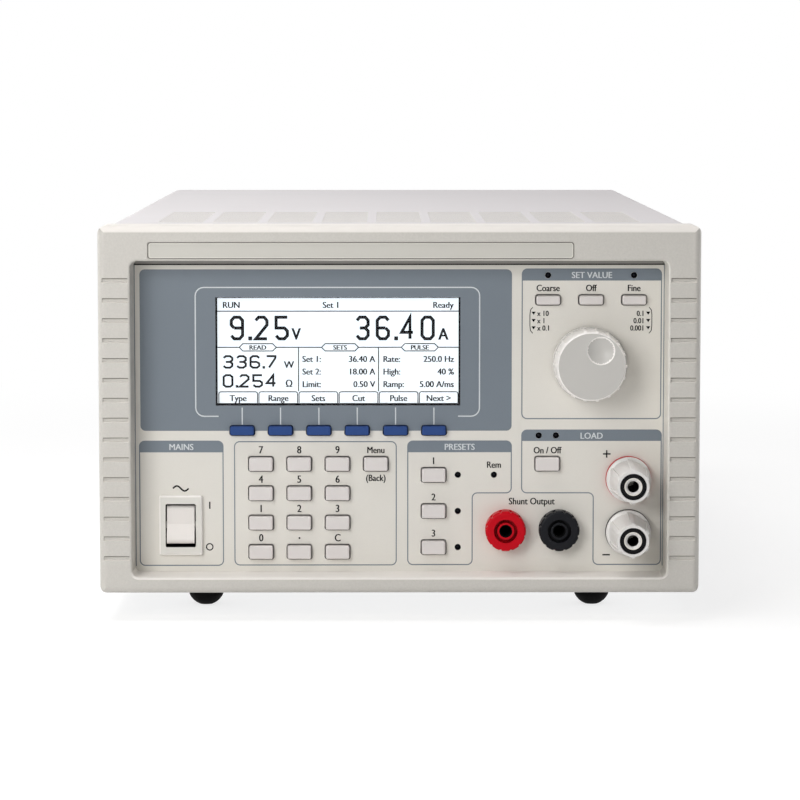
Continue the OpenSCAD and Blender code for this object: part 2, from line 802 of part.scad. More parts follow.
module key_switches() {
    color(deep_black) for (k = KEYS) at([k[1], k[2]]) difference() {
        front_extrude(switch_y, board_y) square(switch_w, center = true);
        rod_y(key_stem_r + switch_bore_gap, switch_y - cut, switch_y + key_dip + key_travel + switch_bore_gap);
    }
}

module indicator_leds() {
    dome_y = recess + led_sink + led_r;
    foot_w = 3;
    foot_y = board_y - 2;
    color([0.25, 0.25, 0.24]) for (p = LEDS) at(p) {
        translate([0, dome_y, 0]) sphere(led_r);
        rod_y(led_r, dome_y, foot_y + cut);
        front_extrude(foot_y, board_y) square(foot_w, center = true);
    }
}

module encoder_body() {
    color(bare_steel) at([knob_x, knob_z]) difference() {
        union() {
            front_extrude(panel_back, board_y) rounded_rect(encoder_w, encoder_w, 1);
            rod_y(bush_r, recess - bush_l, panel_back + cut);
        }
        rod_y(shaft_r + shaft_gap, recess - bush_l - cut, shaft_end + 0.3);
    }
}

module encoder_shaft() {
    color(bare_steel) at([knob_x, knob_z]) rod_y(shaft_r, knob_front + 3, shaft_end);
}

// Half section of the knob's body, which narrows to a bevelled front edge, set in by a given depth
module knob_section(inset) {
    bevel = 0.5;
    tip_r = knob_r - knob_taper - inset;
    polygon([[0, knob_front], [tip_r - bevel, knob_front], [tip_r, knob_front + bevel],
             [knob_r - inset, knob_back - skirt_l], [knob_r - inset, knob_back], [0, knob_back]]);
}

module control_knob() {
    color([0.80, 0.80, 0.79]) at([knob_x, knob_z]) difference() {
        union() {
            revolve_y() knob_section(rib_depth);
            rod_y(knob_r, knob_back - skirt_l, knob_back);
            intersection() {
                for (i = [0:rib_count - 1]) rotate([0, i * 360 / rib_count, 0])
                    translate([knob_r - knob_taper, 0, 0]) rod_y(rib_r, knob_front, knob_back - skirt_l + cut);
                revolve_y() knob_section(0);
            }
        }
        rod_y(knob_r - 2.2, knob_back - knob_well, knob_back + cut);
        rod_y(shaft_r, knob_front + 3, knob_back + cut);
        rotate([0, -dimple_angle, 0])
            translate([dimple_x, knob_front + dimple_depth - dimple_ball_r, 0]) sphere(dimple_ball_r);
    }
}

module switch_housing() {
    color(switch_white) at([power_x, power_z]) difference() {
        union() {
            soft_block(frame_w, frame_h, recess - frame_proud, recess, 0.8, 0.8);
            front_extrude(recess - cut, panel_back + switch_body_l)
                square([switch_body_w, switch_body_h], center = true);
        }
        front_extrude(recess - frame_proud - cut, well_back) rounded_rect(frame_in_w, frame_in_h, 0.6);
        translate([-switch_body_w, pivot_y, 0]) rotate([0, 90, 0])
            cylinder(h = 2 * switch_body_w, r = pivot_r + pivot_gap);
    }
}

// Side view of the rocker, level, with the pivot at the origin and the face towards -y
module rocker_profile() {
    tip_y = -rocker_rise - rocker_half * tan(rocker_tilt);
    root_y = 2.2;
    root_half = rocker_half - 1;
    lip_y = tip_y + rocker_lip_r * (1 + sin(rocker_tilt)) / cos(rocker_tilt);
    lip_z = rocker_half - rocker_lip_r;
    edge_y = lip_y - rocker_lip_r * cos(rocker_tilt);
    edge_z = lip_z - rocker_lip_r * sin(rocker_tilt);
    polygon([
        [-rocker_rise, 0], [edge_y, edge_z], [lip_y, lip_z], [lip_y, rocker_half], [0, rocker_half],
        [root_y, root_half], [root_y, -root_half],
        [0, -rocker_half], [lip_y, -rocker_half], [lip_y, -lip_z], [edge_y, -edge_z]]);
    for (side = [-1, 1]) translate([lip_y, side * lip_z]) circle(rocker_lip_r);
}

module power_rocker() {
    pivot_half = switch_body_w / 2 - 0.3;
    color(switch_white) at([power_x, power_z]) translate([0, pivot_y, 0]) rotate([-rocker_tilt, 0, 0]) {
        side_extrude(-rocker_w / 2, rocker_w / 2) rocker_profile();
        translate([-pivot_half, 0, 0]) rotate([0, 90, 0]) cylinder(h = 2 * pivot_half, r = pivot_r);
    }
}

// Cap of an input post: a ribbed cone on a round flange, bored for its liner and stud
module post_cap(p) {
    color(cap_white) at(p) difference() {
        union() {
            revolve_y() polygon([
                [0, post_front], [cap_tip_r, post_front], [cap_base_r, cap_back - cap_flange_t],
                [cap_flange_r, cap_back - cap_flange_t + 0.4], [cap_flange_r, cap_back], [0, cap_back]]);
            intersection() {
                revolve_y() polygon([
                    [0, post_front + 0.5], [cap_tip_r + cap_rib_h - 0.3, post_front + 0.5],
                    [cap_tip_r + cap_rib_h, post_front + 1],
                    [cap_base_r + cap_rib_h, cap_back - cap_flange_t + cut], [0, cap_back - cap_flange_t + cut]]);
                for (i = [0:cap_ribs - 1]) rotate([0, i * 360 / cap_ribs - 90, 0])
                    translate([0, post_front, -cap_rib_w / 2]) cube([2 * cap_flange_r, post_l, cap_rib_w]);
            }
        }
        rod_y(liner_r + liner_gap, post_front - cut, liner_back + liner_sink);
        rod_y(stud_r + liner_gap, post_front, cap_back + cut);
    }
}

module post_liner(p) {
    color(deep_black) at(p) difference() {
        rod_y(liner_r, post_front + liner_sink, liner_back);
        rod_y(stud_r + liner_gap, post_front, liner_back + cut);
    }
}

// Insulating collar in front of the panel with its sleeve, and the washer behind
module post_collar(p) {
    at(p) {
        difference() {
            union() {
                rod_y(collar_r, recess - collar_t, recess);
                rod_y(sleeve_r, recess - cut, panel_back - seat_gap);
            }
            rod_y(stud_r + screw_gap, recess - collar_t - cut, panel_back + cut);
        }
        difference() {
            rod_y(washer_r, panel_back, panel_back + washer_t);
            rod_y(stud_r + screw_gap, panel_back - cut, panel_back + washer_t + cut);
        }
    }
}

// Moulded 4 mm monitor socket: notched head, ring recess, tube, and body behind the panel
module monitor_socket(p) {
    notch_count = 12;
    notch_r = 0.55;
    edge = 1;
    recess_l = 4.4;
    at(p) difference() {
        union() {
            revolve_y() {
                translate([0, head_front + edge]) square([head_r, head_l - edge]);
                translate([0, head_front]) square([head_r - edge, head_l]);
                translate([head_r - edge, head_front + edge]) circle(edge);
            }
            rod_y(barrel_r, recess - cut, panel_back + barrel_l);
        }
        difference() {
            rod_y(head_recess_r, head_front - cut, head_front + recess_l);
            rod_y(head_tube_r, head_front + 0.4, head_front + recess_l + cut);
        }
        rod_y(contact_r + fit_gap / 2, head_front - cut, panel_back + barrel_l + cut);
        for (i = [0:notch_count - 1]) rotate([0, (i + 0.5) * 360 / notch_count, 0])
            translate([head_r + 0.1, 0, 0]) rod_y(notch_r, head_front - cut, recess - 1.2);
    }
}

module red_insulators() {
    color(signal_red) {
        post_collar(POSTS[0]);
        monitor_socket(MONITORS[0]);
    }
}

module black_insulators() {
    color(deep_black) {
        post_collar(POSTS[1]);
        monitor_socket(MONITORS[1]);
    }
}

module terminal_contacts() {
    tag_l = 4;
    color(bare_steel) {
        for (p = POSTS) at(p) difference() {
            rod_y(stud_r, post_front + stud_sink, panel_back + stud_tail);
            rod_y(socket_bore_r, post_front, post_front + stud_sink + socket_bore_l);
            translate([0, post_front + stud_sink, 0]) rotate([-90, 0, 0])
                cylinder(h = socket_lead, r1 = socket_bore_r + socket_lead, r2 = socket_bore_r);
        }
        for (p = MONITORS) at(p) difference() {
            rod_y(contact_r, contact_front, panel_back + barrel_l + tag_l);
            rod_y(socket_bore_r, contact_front - cut, contact_front + socket_bore_l);
        }
    }
}

// Outline of the cover or its inside, open at the bottom, with rounded top bends
module arch(w, top, r) {
    translate([-w / 2, chassis_z]) square([w, top - r - chassis_z]);
    translate([-w / 2 + r, top - r - cut]) square([w - 2 * r, r + cut]);
    for (x = [-1, 1]) translate([x * (w / 2 - r), top - r]) circle(r);
}

module vent_slots() {
    for (col = [0:vent_columns - 1], row = [0:vent_rows - 1])
        translate([(col - (vent_columns - 1) / 2) * vent_pitch_x, vent_start + row * vent_pitch_y, cover_top])
            cube([vent_slot_l, vent_slot_w, 4 * cover_t], center = true);
    for (row = [0:vent_rows - 1])
        translate([0, vent_start + row * vent_pitch_y, case_h / 2])
            cube([2 * case_w, vent_slot_w, side_slot_h], center = true);
}

// Side screws hold the cover to the chassis flanges: y, side
side_screw_in = 22;
SIDE_SCREWS = [for (side = [-1, 1], y = [bezel_d + side_screw_in, case_d / 2, rear_in - side_screw_in]) [side, y]];
side_screw_z = chassis_z + flange_h * 0.6;

module side_screw_holes() {
    for (s = SIDE_SCREWS) translate([s[0] * (cover_w / 2 - 5), s[1], side_screw_z]) rotate([0, 90, 0])
        cylinder(h = 14, r = screw_r + screw_gap, center = true);
}

module top_cover() {
    color(cover_grey) difference() {
        front_extrude(bezel_d, case_d) difference() {
            arch(cover_w, cover_top, cover_bend_r);
            translate([0, -cut]) arch(cover_w - 2 * cover_t, cover_top - cover_t + cut, cover_bend_r - cover_t);
            translate([-case_w / 2 + cover_step + cover_t, 0]) square([cover_w - 2 * cover_t, 2 * chassis_z]);
        }
        vent_slots();
        side_screw_holes();
    }
}

FEET = [for (x = [-foot_x, foot_x], y = [foot_inset, case_d - foot_inset]) [x, y]];
foot_screw_r = 1.75;
foot_shoulder = 2;
foot_screw_l = sheet_t + foot_h * 0.6;

// Pillars on the chassis floor: x, y, top, for the heatsink and the main board
HEATSINK_PILLARS = [for (x = [-1, 1], y = [heatsink_front + 10, heatsink_back - 10])
    [fan_x + x * (heatsink_w / 2 - 8), y, heatsink_low]];
MAIN_PILLARS = [for (x = [main_left + 12, main_right - main_in],
                     y = [main_front + main_in, (main_front + main_back) / 2, main_back - main_bar_in])
    [x, y, main_z]];
REAR_SCREWS = [for (x = [-1, 1]) [x * (chassis_w / 2 - 12), floor_z + flange_h * 0.55]];

module chassis() {
    color(bare_steel) difference() {
        union() {
            translate([-chassis_w / 2, bezel_d, chassis_z]) cube([chassis_w, rear_in - bezel_d, sheet_t]);
            for (side = [-1, 1]) translate([side * (chassis_w - sheet_t) / 2, (bezel_d + rear_in) / 2,
                                            chassis_z + flange_h / 2])
                cube([sheet_t, rear_in - bezel_d, flange_h], center = true);
            translate([-chassis_w / 2, bezel_d, chassis_z]) cube([chassis_w, sheet_t, sill_h]);
            translate([-chassis_w / 2, rear_in - sheet_t, chassis_z]) cube([chassis_w, sheet_t, flange_h]);
            for (p = concat(HEATSINK_PILLARS, MAIN_PILLARS))
                translate([p[0], p[1], chassis_z]) cylinder(h = p[2] - chassis_z, r = stand_r);
        }
        for (f = FEET) translate([f[0], f[1], 0]) cylinder(h = 2 * floor_z, r = foot_screw_r + screw_gap);
        for (p = MAIN_PILLARS) translate([p[0], p[1], floor_z + 1]) cylinder(h = main_z, r = screw_r + screw_gap);
        for (p = REAR_SCREWS) at(p) rod_y(screw_r + screw_gap, rear_in - 2 * sheet_t, rear_in + cut);
        side_screw_holes();
    }
}

module fan_grille() {
    ring_w = 4.6;
    ring_pitch = 7;
    spoke_w = 5;
    difference() {
        for (i = [0:4]) difference() {
            circle(fan_hole_r - i * ring_pitch);
            circle(fan_hole_r - i * ring_pitch - ring_w);
        }
        for (a = [0, 45, 90, 135]) rotate(a) square([2 * fan_w, spoke_w], center = true);
    }
}

module fan_screw_places() {
    for (x = [-1, 1], z = [-1, 1]) translate([fan_x + x * fan_screw_x, 0, fan_z0 + z * fan_screw_x]) children();
}

module rear_panel() {
    color(cover_grey) difference() {
        front_extrude(rear_in, rear_out) difference() {
            intersection() {
                arch(chassis_w, rear_high, cover_bend_r - cover_t);
                translate([-chassis_w / 2, rear_low]) square([chassis_w, case_h]);
            }
            translate([fan_x, fan_z0]) fan_grille();
            translate([inlet_x, inlet_z])
                square([inlet_body[0] + 2 * cutout_gap, inlet_body[1] + 2 * cutout_gap], center = true);
            translate([lan_x, port_z + lan_size[1] / 2])
                square([lan_size[0] + 2 * cutout_gap, lan_size[1] + 2 * cutout_gap], center = true);
            translate([usb_x, port_z + usb_size[1] / 2])
                square([usb_size[0] + 2 * cutout_gap, usb_size[1] + 2 * cutout_gap], center = true);
            translate([serial_x, serial_z])
                square([serial_shell[0] + 2 * cutout_gap, serial_shell[1] + 2 * cutout_gap], center = true);
            for (x = REAR_STUDS) translate([x, rear_z0]) circle(rear_sleeve_r + screw_gap);
            for (p = REAR_SCREWS) translate(p) circle(screw_r + screw_gap);
            for (x = [-1, 1]) translate([inlet_x + x * inlet_screw_x, inlet_z]) circle(screw_r + screw_gap);
        }
        fan_screw_places() rod_y(fan_screw_r + screw_gap, rear_in - cut, rear_out + cut);
    }
}

// A foot is a dome with a flat pad, and a blind hole for the screw from inside the case
module foot_profile() {
    foot_l = foot_h + chassis_z;
    arc_y = (pow(foot_pad_r, 2) - pow(foot_r, 2) + pow(foot_l, 2) - pow(foot_shoulder, 2))
        / (2 * (foot_l - foot_shoulder));
    difference() {
        intersection() {
            square([foot_r, foot_l]);
            translate([0, arc_y]) circle(norm([foot_pad_r, foot_l - arc_y]));
        }
        translate([0, -cut]) square([foot_screw_r + screw_gap, foot_screw_l - sheet_t + 0.5 + cut]);
    }
}

module rubber_feet() {
    color(deep_black) for (f = FEET) translate([f[0], f[1], chassis_z])
        mirror([0, 0, 1]) rotate_extrude() foot_profile();
}

module heatsink() {
    inner = heatsink_w - 2 * heatsink_wall;
    color([0.75, 0.76, 0.78]) front_extrude(heatsink_front, heatsink_back) translate([fan_x, fan_z0]) {
        difference() {
            square(heatsink_w, center = true);
            square(inner, center = true);
        }
        for (i = [1:fin_count]) translate([-inner / 2 + i * inner / (fin_count + 1) - fin_t / 2, -heatsink_w / 2 + 1])
            square([fin_t, heatsink_w - 2]);
    }
}

// Flat-pack transistors screwed to the heatsink's side, legs down to the main board
module power_transistors() {
    pack = [5, 15.8, 21];
    pack_z = 22;
    leg_t = 0.7;
    leg_pitch = 5.4;
    step = heatsink_l / (transistor_count + 1);
    color(deep_black) for (i = [1:transistor_count])
        translate([heatsink_right, heatsink_front + i * step, heatsink_low + pack_z]) {
            translate([0, -pack[1] / 2, 0]) cube(pack);
            for (leg = [-1:1]) translate([pack[0] / 2 - leg_t / 2, leg * leg_pitch - leg_t, main_top - heatsink_low - pack_z])
                cube([leg_t, 2 * leg_t, heatsink_low + pack_z - main_top + cut]);
        }
}

module fan_frame() {
    color(deep_black) at([fan_x, fan_z0]) difference() {
        union() {
            front_extrude(fan_front, rear_in) difference() {
                rounded_rect(fan_w, fan_w, 4);
                circle(fan_hole_r);
            }
            front_extrude(fan_front, fan_front + strut_t) {
                circle(hub_r);
                for (a = [0, 90]) rotate(a + 30) square([2 * fan_hole_r + 1, 5], center = true);
            }
            rod_y(bearing_r, fan_front, fan_front + fan_t - 8);
        }
        rod_y(fan_shaft_r + shaft_gap, fan_front + 1, rear_in);
        for (x = [-1, 1], z = [-1, 1]) at([x * fan_screw_x, z * fan_screw_x])
            rod_y(fan_screw_r + screw_gap, fan_front - cut, rear_in + cut);
    }
}

module fan_rotor() {
    rotor_front = fan_front + strut_t + 1;
    rotor_back = rear_in - 2;
    rotor_l = rotor_back - rotor_front;
    tip_r = fan_hole_r - tip_gap;
    color([0.12, 0.12, 0.13]) at([fan_x, fan_z0]) {
        difference() {
            union() {
                rod_y(hub_r, rotor_front, rotor_back);
                intersection() {
                    rod_y(tip_r, rotor_front + 1, rotor_back - 1);
                    for (i = [0:blade_count - 1]) rotate([0, i * 360 / blade_count, 0])
                        translate([hub_r - 3, (rotor_front + rotor_back) / 2, 0]) rotate([blade_pitch, 0, 0])
                            translate([0, -rotor_l, -0.8]) cube([fan_w, 2 * rotor_l, 1.6]);
                }
            }
            rod_y(hub_r - 1.6, rotor_front - cut, rotor_back - 3);
        }
        rod_y(fan_shaft_r, fan_front + 1.5, rotor_back - 2);
    }
}

module mains_inlet() {
    back_l = 9;
    pin = [2, 4];
    pin_l = 14;
    pins = [[-7, -2], [7, -2], [0, 2.4]];
    color(deep_black) at([inlet_x, inlet_z]) {
        difference() {
            union() {
                front_extrude(rear_out, rear_out + 2) difference() {
                    rounded_rect(inlet_flange[0], inlet_flange[1], 4);
                    for (x = [-1, 1]) translate([x * inlet_screw_x, 0]) circle(screw_r + screw_gap);
                }
                front_extrude(rear_out - inlet_well_l - back_l, rear_out + cut) square(inlet_body, center = true);
            }
            front_extrude(rear_out - inlet_well_l, rear_out + 2 + cut) difference() {
                square(inlet_well, center = true);
                for (x = [-1, 1]) translate([x * inlet_well[0] / 2, inlet_well[1] / 2]) rotate(45)
                    square(6, center = true);
            }
        }
        for (p = pins) at(p) front_extrude(rear_out - inlet_well_l - cut, rear_out - inlet_well_l + pin_l)
            square(pin, center = true);
    }
}

module interface_card() {
    serial_pin_r = 0.5;
    serial_pin_pitch = 2.76;
    wall = 0.6;
    color(board_green) translate([card_x - card_w / 2, rear_in - card_l, card_z]) cube([card_w, card_l - 1, board_t]);
    color(bare_steel) {
        translate([lan_x, 0, port_z + lan_size[1] / 2]) difference() {
            front_extrude(rear_out - 21, rear_out + port_out) square(lan_size, center = true);
            front_extrude(rear_out - 12, rear_out + port_out + cut) square(lan_well, center = true);
        }
        translate([usb_x, 0, port_z + usb_size[1] / 2]) {
            difference() {
                front_extrude(rear_out - 16, rear_out + port_out) square(usb_size, center = true);
                front_extrude(rear_out - 9, rear_out + port_out + cut) square(usb_well, center = true);
            }
            front_extrude(rear_out - 9 - cut, rear_out - 1) square(usb_tongue, center = true);
        }
        translate([serial_x, 0, serial_z]) {
            difference() {
                union() {
                    front_extrude(rear_in - 1, rear_in) rounded_rect(serial_flange[0], serial_flange[1], 1.5);
                    front_extrude(rear_in - 8, rear_out + serial_out) rounded_rect(serial_shell[0], serial_shell[1], 2);
                    translate([-serial_shell[0] / 2, rear_in - 8, port_z - serial_z])
                        cube([serial_shell[0], 7, serial_z - port_z]);
                }
                front_extrude(rear_out - 0.5, rear_out + serial_out + cut)
                    rounded_rect(serial_shell[0] - 2 * wall, serial_shell[1] - 2 * wall, 2 - wall);
            }
            for (row = [0, 1], i = [0:4 - row])
                translate([(i - (4 - row) / 2) * serial_pin_pitch, 0, 1.4 - 2.8 * row])
                    rod_y(serial_pin_r, rear_out - 0.5 - cut, rear_out + serial_out - 0.8);
        }
    }
}

module rear_insulators() {
    color(deep_black) for (x = REAR_STUDS) at([x, rear_z0]) {
        difference() {
            union() {
                rod_y(rear_insulator_r, rear_out, rear_out + rear_insulator_t);
                rod_y(rear_sleeve_r, rear_in + seat_gap, rear_out + cut);
            }
            rod_y(rear_stud_r + screw_gap, rear_in - cut, rear_out + rear_insulator_t + cut);
        }
        difference() {
            rod_y(rear_insulator_r, rear_in - rear_washer_t, rear_in);
            rod_y(rear_stud_r + screw_gap, rear_in - rear_washer_t - cut, rear_in + cut);
        }
    }
}

// Rear studs, and the bars that carry the current from them to the main board
module rear_terminals() {
    bar_y = rear_in - rear_washer_t - bar_t;
    relief_y = rear_out + rear_insulator_t + rear_nut_t + 0.5;
    relief_w = 1;
    relief_d = 0.6;
    color(bare_brass) for (x = REAR_STUDS) at([x, 0]) {
        translate([0, 0, rear_z0]) revolve_y() polygon([
            [0, bar_y - rear_nut_t - 2], [rear_stud_r, bar_y - rear_nut_t - 2], [rear_stud_r, relief_y],
            [rear_stud_r - relief_d, relief_y], [rear_stud_r - relief_d, relief_y + relief_w],
            [rear_stud_r, relief_y + relief_w], [rear_stud_r, rear_most - relief_d],
            [rear_stud_r - relief_d, rear_most], [0, rear_most]]);
        difference() {
            union() {
                translate([-bar_w / 2, bar_y, main_top]) cube([bar_w, bar_t, rear_z0 + bar_w / 2 - main_top]);
                translate([-bar_w / 2, main_back - 12, main_top]) cube([bar_w, bar_y - main_back + 12 + bar_t, bar_t]);
            }
            translate([0, 0, rear_z0]) rod_y(rear_stud_r + screw_gap, bar_y - cut, bar_y + bar_t + cut);
        }
    }
}

module main_board() {
    cap_r = 9;
    cap_h = 32;
    relay = [28, 12.6, 24];
    color(board_green) difference() {
        translate([main_left, main_front, main_z]) cube([main_right - main_left, main_back - main_front, board_t]);
        for (p = MAIN_PILLARS) translate([p[0], p[1], main_z - cut])
            cylinder(h = board_t + 2 * cut, r = screw_r + screw_gap);
    }
    color(deep_black) {
        for (i = [0:3]) translate([main_right - 24, main_front + 60 + i * 24, main_top + seat_gap])
            cylinder(h = cap_h, r = cap_r);
        for (i = [0:1]) translate([main_left + 30, main_back - 60 - i * 40, main_top + seat_gap]) cube(relay);
    }
}

// Mains transformer: laminated core, winding and fixing feet
module transformer() {
    winding_over = 9;
    tab = 12;
    color([0.45, 0.40, 0.33]) translate([transformer_x, transformer_y, floor_z]) {
        translate([-transformer_w / 2, -transformer_l / 4, 0]) cube([transformer_w, transformer_l / 2, transformer_h]);
        translate([-transformer_w / 2 - tab, -transformer_l / 4, 0]) cube([transformer_w + 2 * tab, transformer_l / 2, 1.5]);
        translate([-transformer_w / 2 + 8, -transformer_l / 4 - winding_over, 8])
            cube([transformer_w - 16, transformer_l / 2 + 2 * winding_over, transformer_h - 16]);
    }
}

// Round screw head standing on z = 0, with a cross recess in its face
module screw_head(r, h) {
    difference() {
        cylinder(h = h, r = r);
        for (a = [0, 90]) rotate(a) translate([0, 0, h]) cube([1.3 * r, 0.3 * r, h], center = true);
    }
}

// Screw along Y with its shank from y0 to y1 and its head behind that
module screw_y(r, y0, y1) {
    rod_y(r, y0, y1);
    translate([0, y1, 0]) rotate([-90, 0, 0]) screw_head(2 * r, head_t);
}

module fasteners() {
    color(bare_steel) {
        at([knob_x, knob_z]) nut_y(10, bush_r + screw_gap, recess - nut_t, recess);
        for (p = POSTS) at(p)
            nut_y(post_nut_af, stud_r + screw_gap, panel_back + washer_t, panel_back + washer_t + post_nut_t);
        for (p = MONITORS) at(p) nut_y(barrel_nut_af, barrel_r + screw_gap, panel_back, panel_back + barrel_nut_t);
        for (p = BOSSES) at(p) screw_y(screw_r, panel_back + 1.5, board_y + board_t);
        for (p = REAR_SCREWS) at(p) screw_y(screw_r, rear_in - sheet_t - 2, rear_out);
        for (x = [-1, 1]) at([inlet_x + x * inlet_screw_x, inlet_z]) screw_y(screw_r, rear_in - 3, rear_out + 2);
        fan_screw_places() screw_y(fan_screw_r, fan_front + 4, rear_out);
        for (x = REAR_STUDS) at([x, rear_z0]) {
            bar_y = rear_in - rear_washer_t - bar_t;
            nut_y(rear_nut_af, rear_stud_r + screw_gap, bar_y - rear_nut_t, bar_y);
            nut_y(rear_nut_af, rear_stud_r + screw_gap, rear_out + rear_insulator_t, rear_out + rear_insulator_t + rear_nut_t);
        }
        for (s = SIDE_SCREWS) translate([s[0] * cover_w / 2, s[1], side_screw_z]) rotate([0, s[0] * 90, 0]) {
            translate([0, 0, -cover_t - sheet_t - 2]) cylinder(h = cover_t + sheet_t + 2, r = screw_r);
            screw_head(2 * screw_r, 0.9 * cover_step);
        }
        for (f = FEET) translate([f[0], f[1], floor_z]) {
            translate([0, 0, -foot_screw_l]) cylinder(h = foot_screw_l, r = foot_screw_r);
            screw_head(2 * foot_screw_r, foot_head_t);
        }
        for (p = MAIN_PILLARS) translate([p[0], p[1], main_top]) {
            cylinder(h = head_t, r = 2 * screw_r);
            translate([0, 0, -8]) cylinder(h = 8 + cut, r = screw_r);
        }
    }
}

KEY_NAMES = [for (k = KEYS) k[0]];

for (k = KEYS) in_frame() key_cap(k);
in_frame() front_bezel();
in_frame() front_panel();
in_frame() lcd_window();
in_frame() lcd_module();
in_frame() panel_board();
in_frame() key_switches();
in_frame() indicator_leds();
in_frame() encoder_body();
in_frame() encoder_shaft();
in_frame() control_knob();
in_frame() switch_housing();
in_frame() power_rocker();
in_frame() post_cap(POSTS[0]);  // positive_cap
in_frame() post_liner(POSTS[0]);  // positive_liner
in_frame() post_cap(POSTS[1]);  // negative_cap
in_frame() post_liner(POSTS[1]);  // negative_liner
in_frame() red_insulators();
in_frame() black_insulators();
in_frame() terminal_contacts();
in_frame() chassis();
in_frame() top_cover();
in_frame() rear_panel();
in_frame() rubber_feet();
in_frame() heatsink();
in_frame() power_transistors();
in_frame() fan_frame();
in_frame() fan_rotor();
in_frame() mains_inlet();
in_frame() interface_card();
in_frame() rear_insulators();
in_frame() rear_terminals();
in_frame() main_board();
in_frame() transformer();
in_frame() fasteners();
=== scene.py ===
# %% [markdown]
# # A bench dc electronic load
# The solids of this load come packed from a CAD model, and they fix its size and its moving parts.
# This lesson dresses them: a camera and a studio, one finish for each real material, the ink on the
# control panel, and the picture on the display. Nothing here moves or reshapes a solid.

import math

import bmesh
import bpy
from mathutils import Matrix, Vector


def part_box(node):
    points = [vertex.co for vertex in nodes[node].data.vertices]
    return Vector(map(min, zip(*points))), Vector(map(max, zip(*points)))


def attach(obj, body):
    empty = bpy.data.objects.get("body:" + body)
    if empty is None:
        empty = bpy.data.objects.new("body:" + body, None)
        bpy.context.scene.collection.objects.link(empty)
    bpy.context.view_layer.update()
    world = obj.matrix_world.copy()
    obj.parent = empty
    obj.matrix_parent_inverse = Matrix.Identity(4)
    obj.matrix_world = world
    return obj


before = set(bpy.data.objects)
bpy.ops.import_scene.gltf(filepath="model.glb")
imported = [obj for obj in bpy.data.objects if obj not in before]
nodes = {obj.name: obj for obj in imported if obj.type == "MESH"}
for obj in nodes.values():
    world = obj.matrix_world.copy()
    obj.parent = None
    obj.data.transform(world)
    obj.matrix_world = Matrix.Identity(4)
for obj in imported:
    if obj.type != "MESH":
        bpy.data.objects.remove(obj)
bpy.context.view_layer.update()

# %% [markdown]
# Places on the load are given as on a workshop drawing: millimetres from the bezel's face, from the
# bottom of the case and from its middle. The bezel's own box gives the zero of that drawing, so the
# dressing stays on the solids if they are packed again.

# %% Drawing coordinates
MM = 0.001
bezel_low, bezel_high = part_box("front_bezel")
middle_x = (bezel_low.x + bezel_high.x) / 2


def place(x, y, z):
    """A point of the drawing as a point of the scene."""
    return Vector((middle_x + x * MM, bezel_low.y + y * MM, bezel_low.z + z * MM))


def drawn_box(node):
    """Lowest and highest corner of a solid, in drawing millimetres."""
    zero = place(0, 0, 0)
    return [(corner - zero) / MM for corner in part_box(node)]


def centre(node):
    """Middle of a solid as x and z on the front view."""
    low, high = drawn_box(node)
    return (low.x + high.x) / 2, (low.z + high.z) / 2


panel_y = drawn_box("front_panel")[0].y
print(f"the panel's face lies {panel_y:.2f} mm behind the bezel's face")

# %% [markdown]
# ## Camera
# The photograph was taken from about a metre away with a long lens, a little above the load and
# almost square to it. A pinhole camera was fitted to the outline of the bezel and to the rear edge
# of the cover, and its place and angles are written here. A long lens is what keeps the cover's top
# so shallow.

# %% Set up the camera
FRAME_PIXELS = 800
FOCAL_PIXELS = 3347.0
SENSOR_MM = 36.0
CAMERA_PLACE = (-6.3, -1172.1, 180.7)
CAMERA_DOWN = 5.457
CAMERA_RIGHT = 0.316

scene = bpy.context.scene
camera_data = bpy.data.cameras.new("long_lens")
camera_data.sensor_width = SENSOR_MM
camera_data.lens = FOCAL_PIXELS / FRAME_PIXELS * SENSOR_MM
camera_data.clip_end = 20.0
camera = bpy.data.objects.new("camera", camera_data)
camera.location = place(*CAMERA_PLACE)
camera.rotation_euler = (math.radians(90 - CAMERA_DOWN), 0, math.radians(-CAMERA_RIGHT))
scene.collection.objects.link(camera)
scene.camera = camera
print(f"camera with a {camera_data.lens:.0f} mm lens at {tuple(round(c, 3) for c in camera.location)}")

# %% [markdown]
# ## Studio
# The load stands on a white sweep. What the lens sees of the sweep is plain white, while the floor
# still takes the load's soft shadow. Light Path tells the rays of the lens, of mirrors and of glass
# from the rays that carry light, so the white of the background adds no light to the load.

# %% White background
WORLD_LIGHT = 0.12
SKY_TINT = (0.99, 0.995, 1.0, 1)


def seen_directly(tree):
    """A mask that is 1 for rays from the lens, from gloss and through glass."""
    path = tree.nodes.new("ShaderNodeLightPath")
    mask = path.outputs["Is Camera Ray"]
    for name in ("Is Glossy Ray", "Is Transmission Ray"):
        larger = tree.nodes.new("ShaderNodeMath")
        larger.operation = "MAXIMUM"
        tree.links.new(mask, larger.inputs[0])
        tree.links.new(path.outputs[name], larger.inputs[1])
        mask = larger.outputs[0]
    return mask


def mix_shaders(tree, factor, first, second):
    """A Mix Shader node fed by three sockets; gives its output."""
    made = tree.nodes.new("ShaderNodeMixShader")
    for slot, value in zip(made.inputs, (factor, first, second)):
        tree.links.new(value, slot)
    return made.outputs[0]


scene.view_settings.view_transform = "Standard"
world = bpy.data.worlds.new("white_studio")
scene.world = world
world.use_nodes = True
sky = world.node_tree
light_side = sky.nodes["Background"]
light_side.inputs["Color"].default_value = SKY_TINT
light_side.inputs["Strength"].default_value = WORLD_LIGHT
seen_side = sky.nodes.new("ShaderNodeBackground")
seen_side.inputs["Color"].default_value = (1, 1, 1, 1)
both_sides = mix_shaders(sky, seen_directly(sky), light_side.outputs[0], seen_side.outputs[0])
sky.links.new(both_sides, sky.nodes["World Output"].inputs["Surface"])
print("background white to the lens, and", WORLD_LIGHT, "bright to the load")

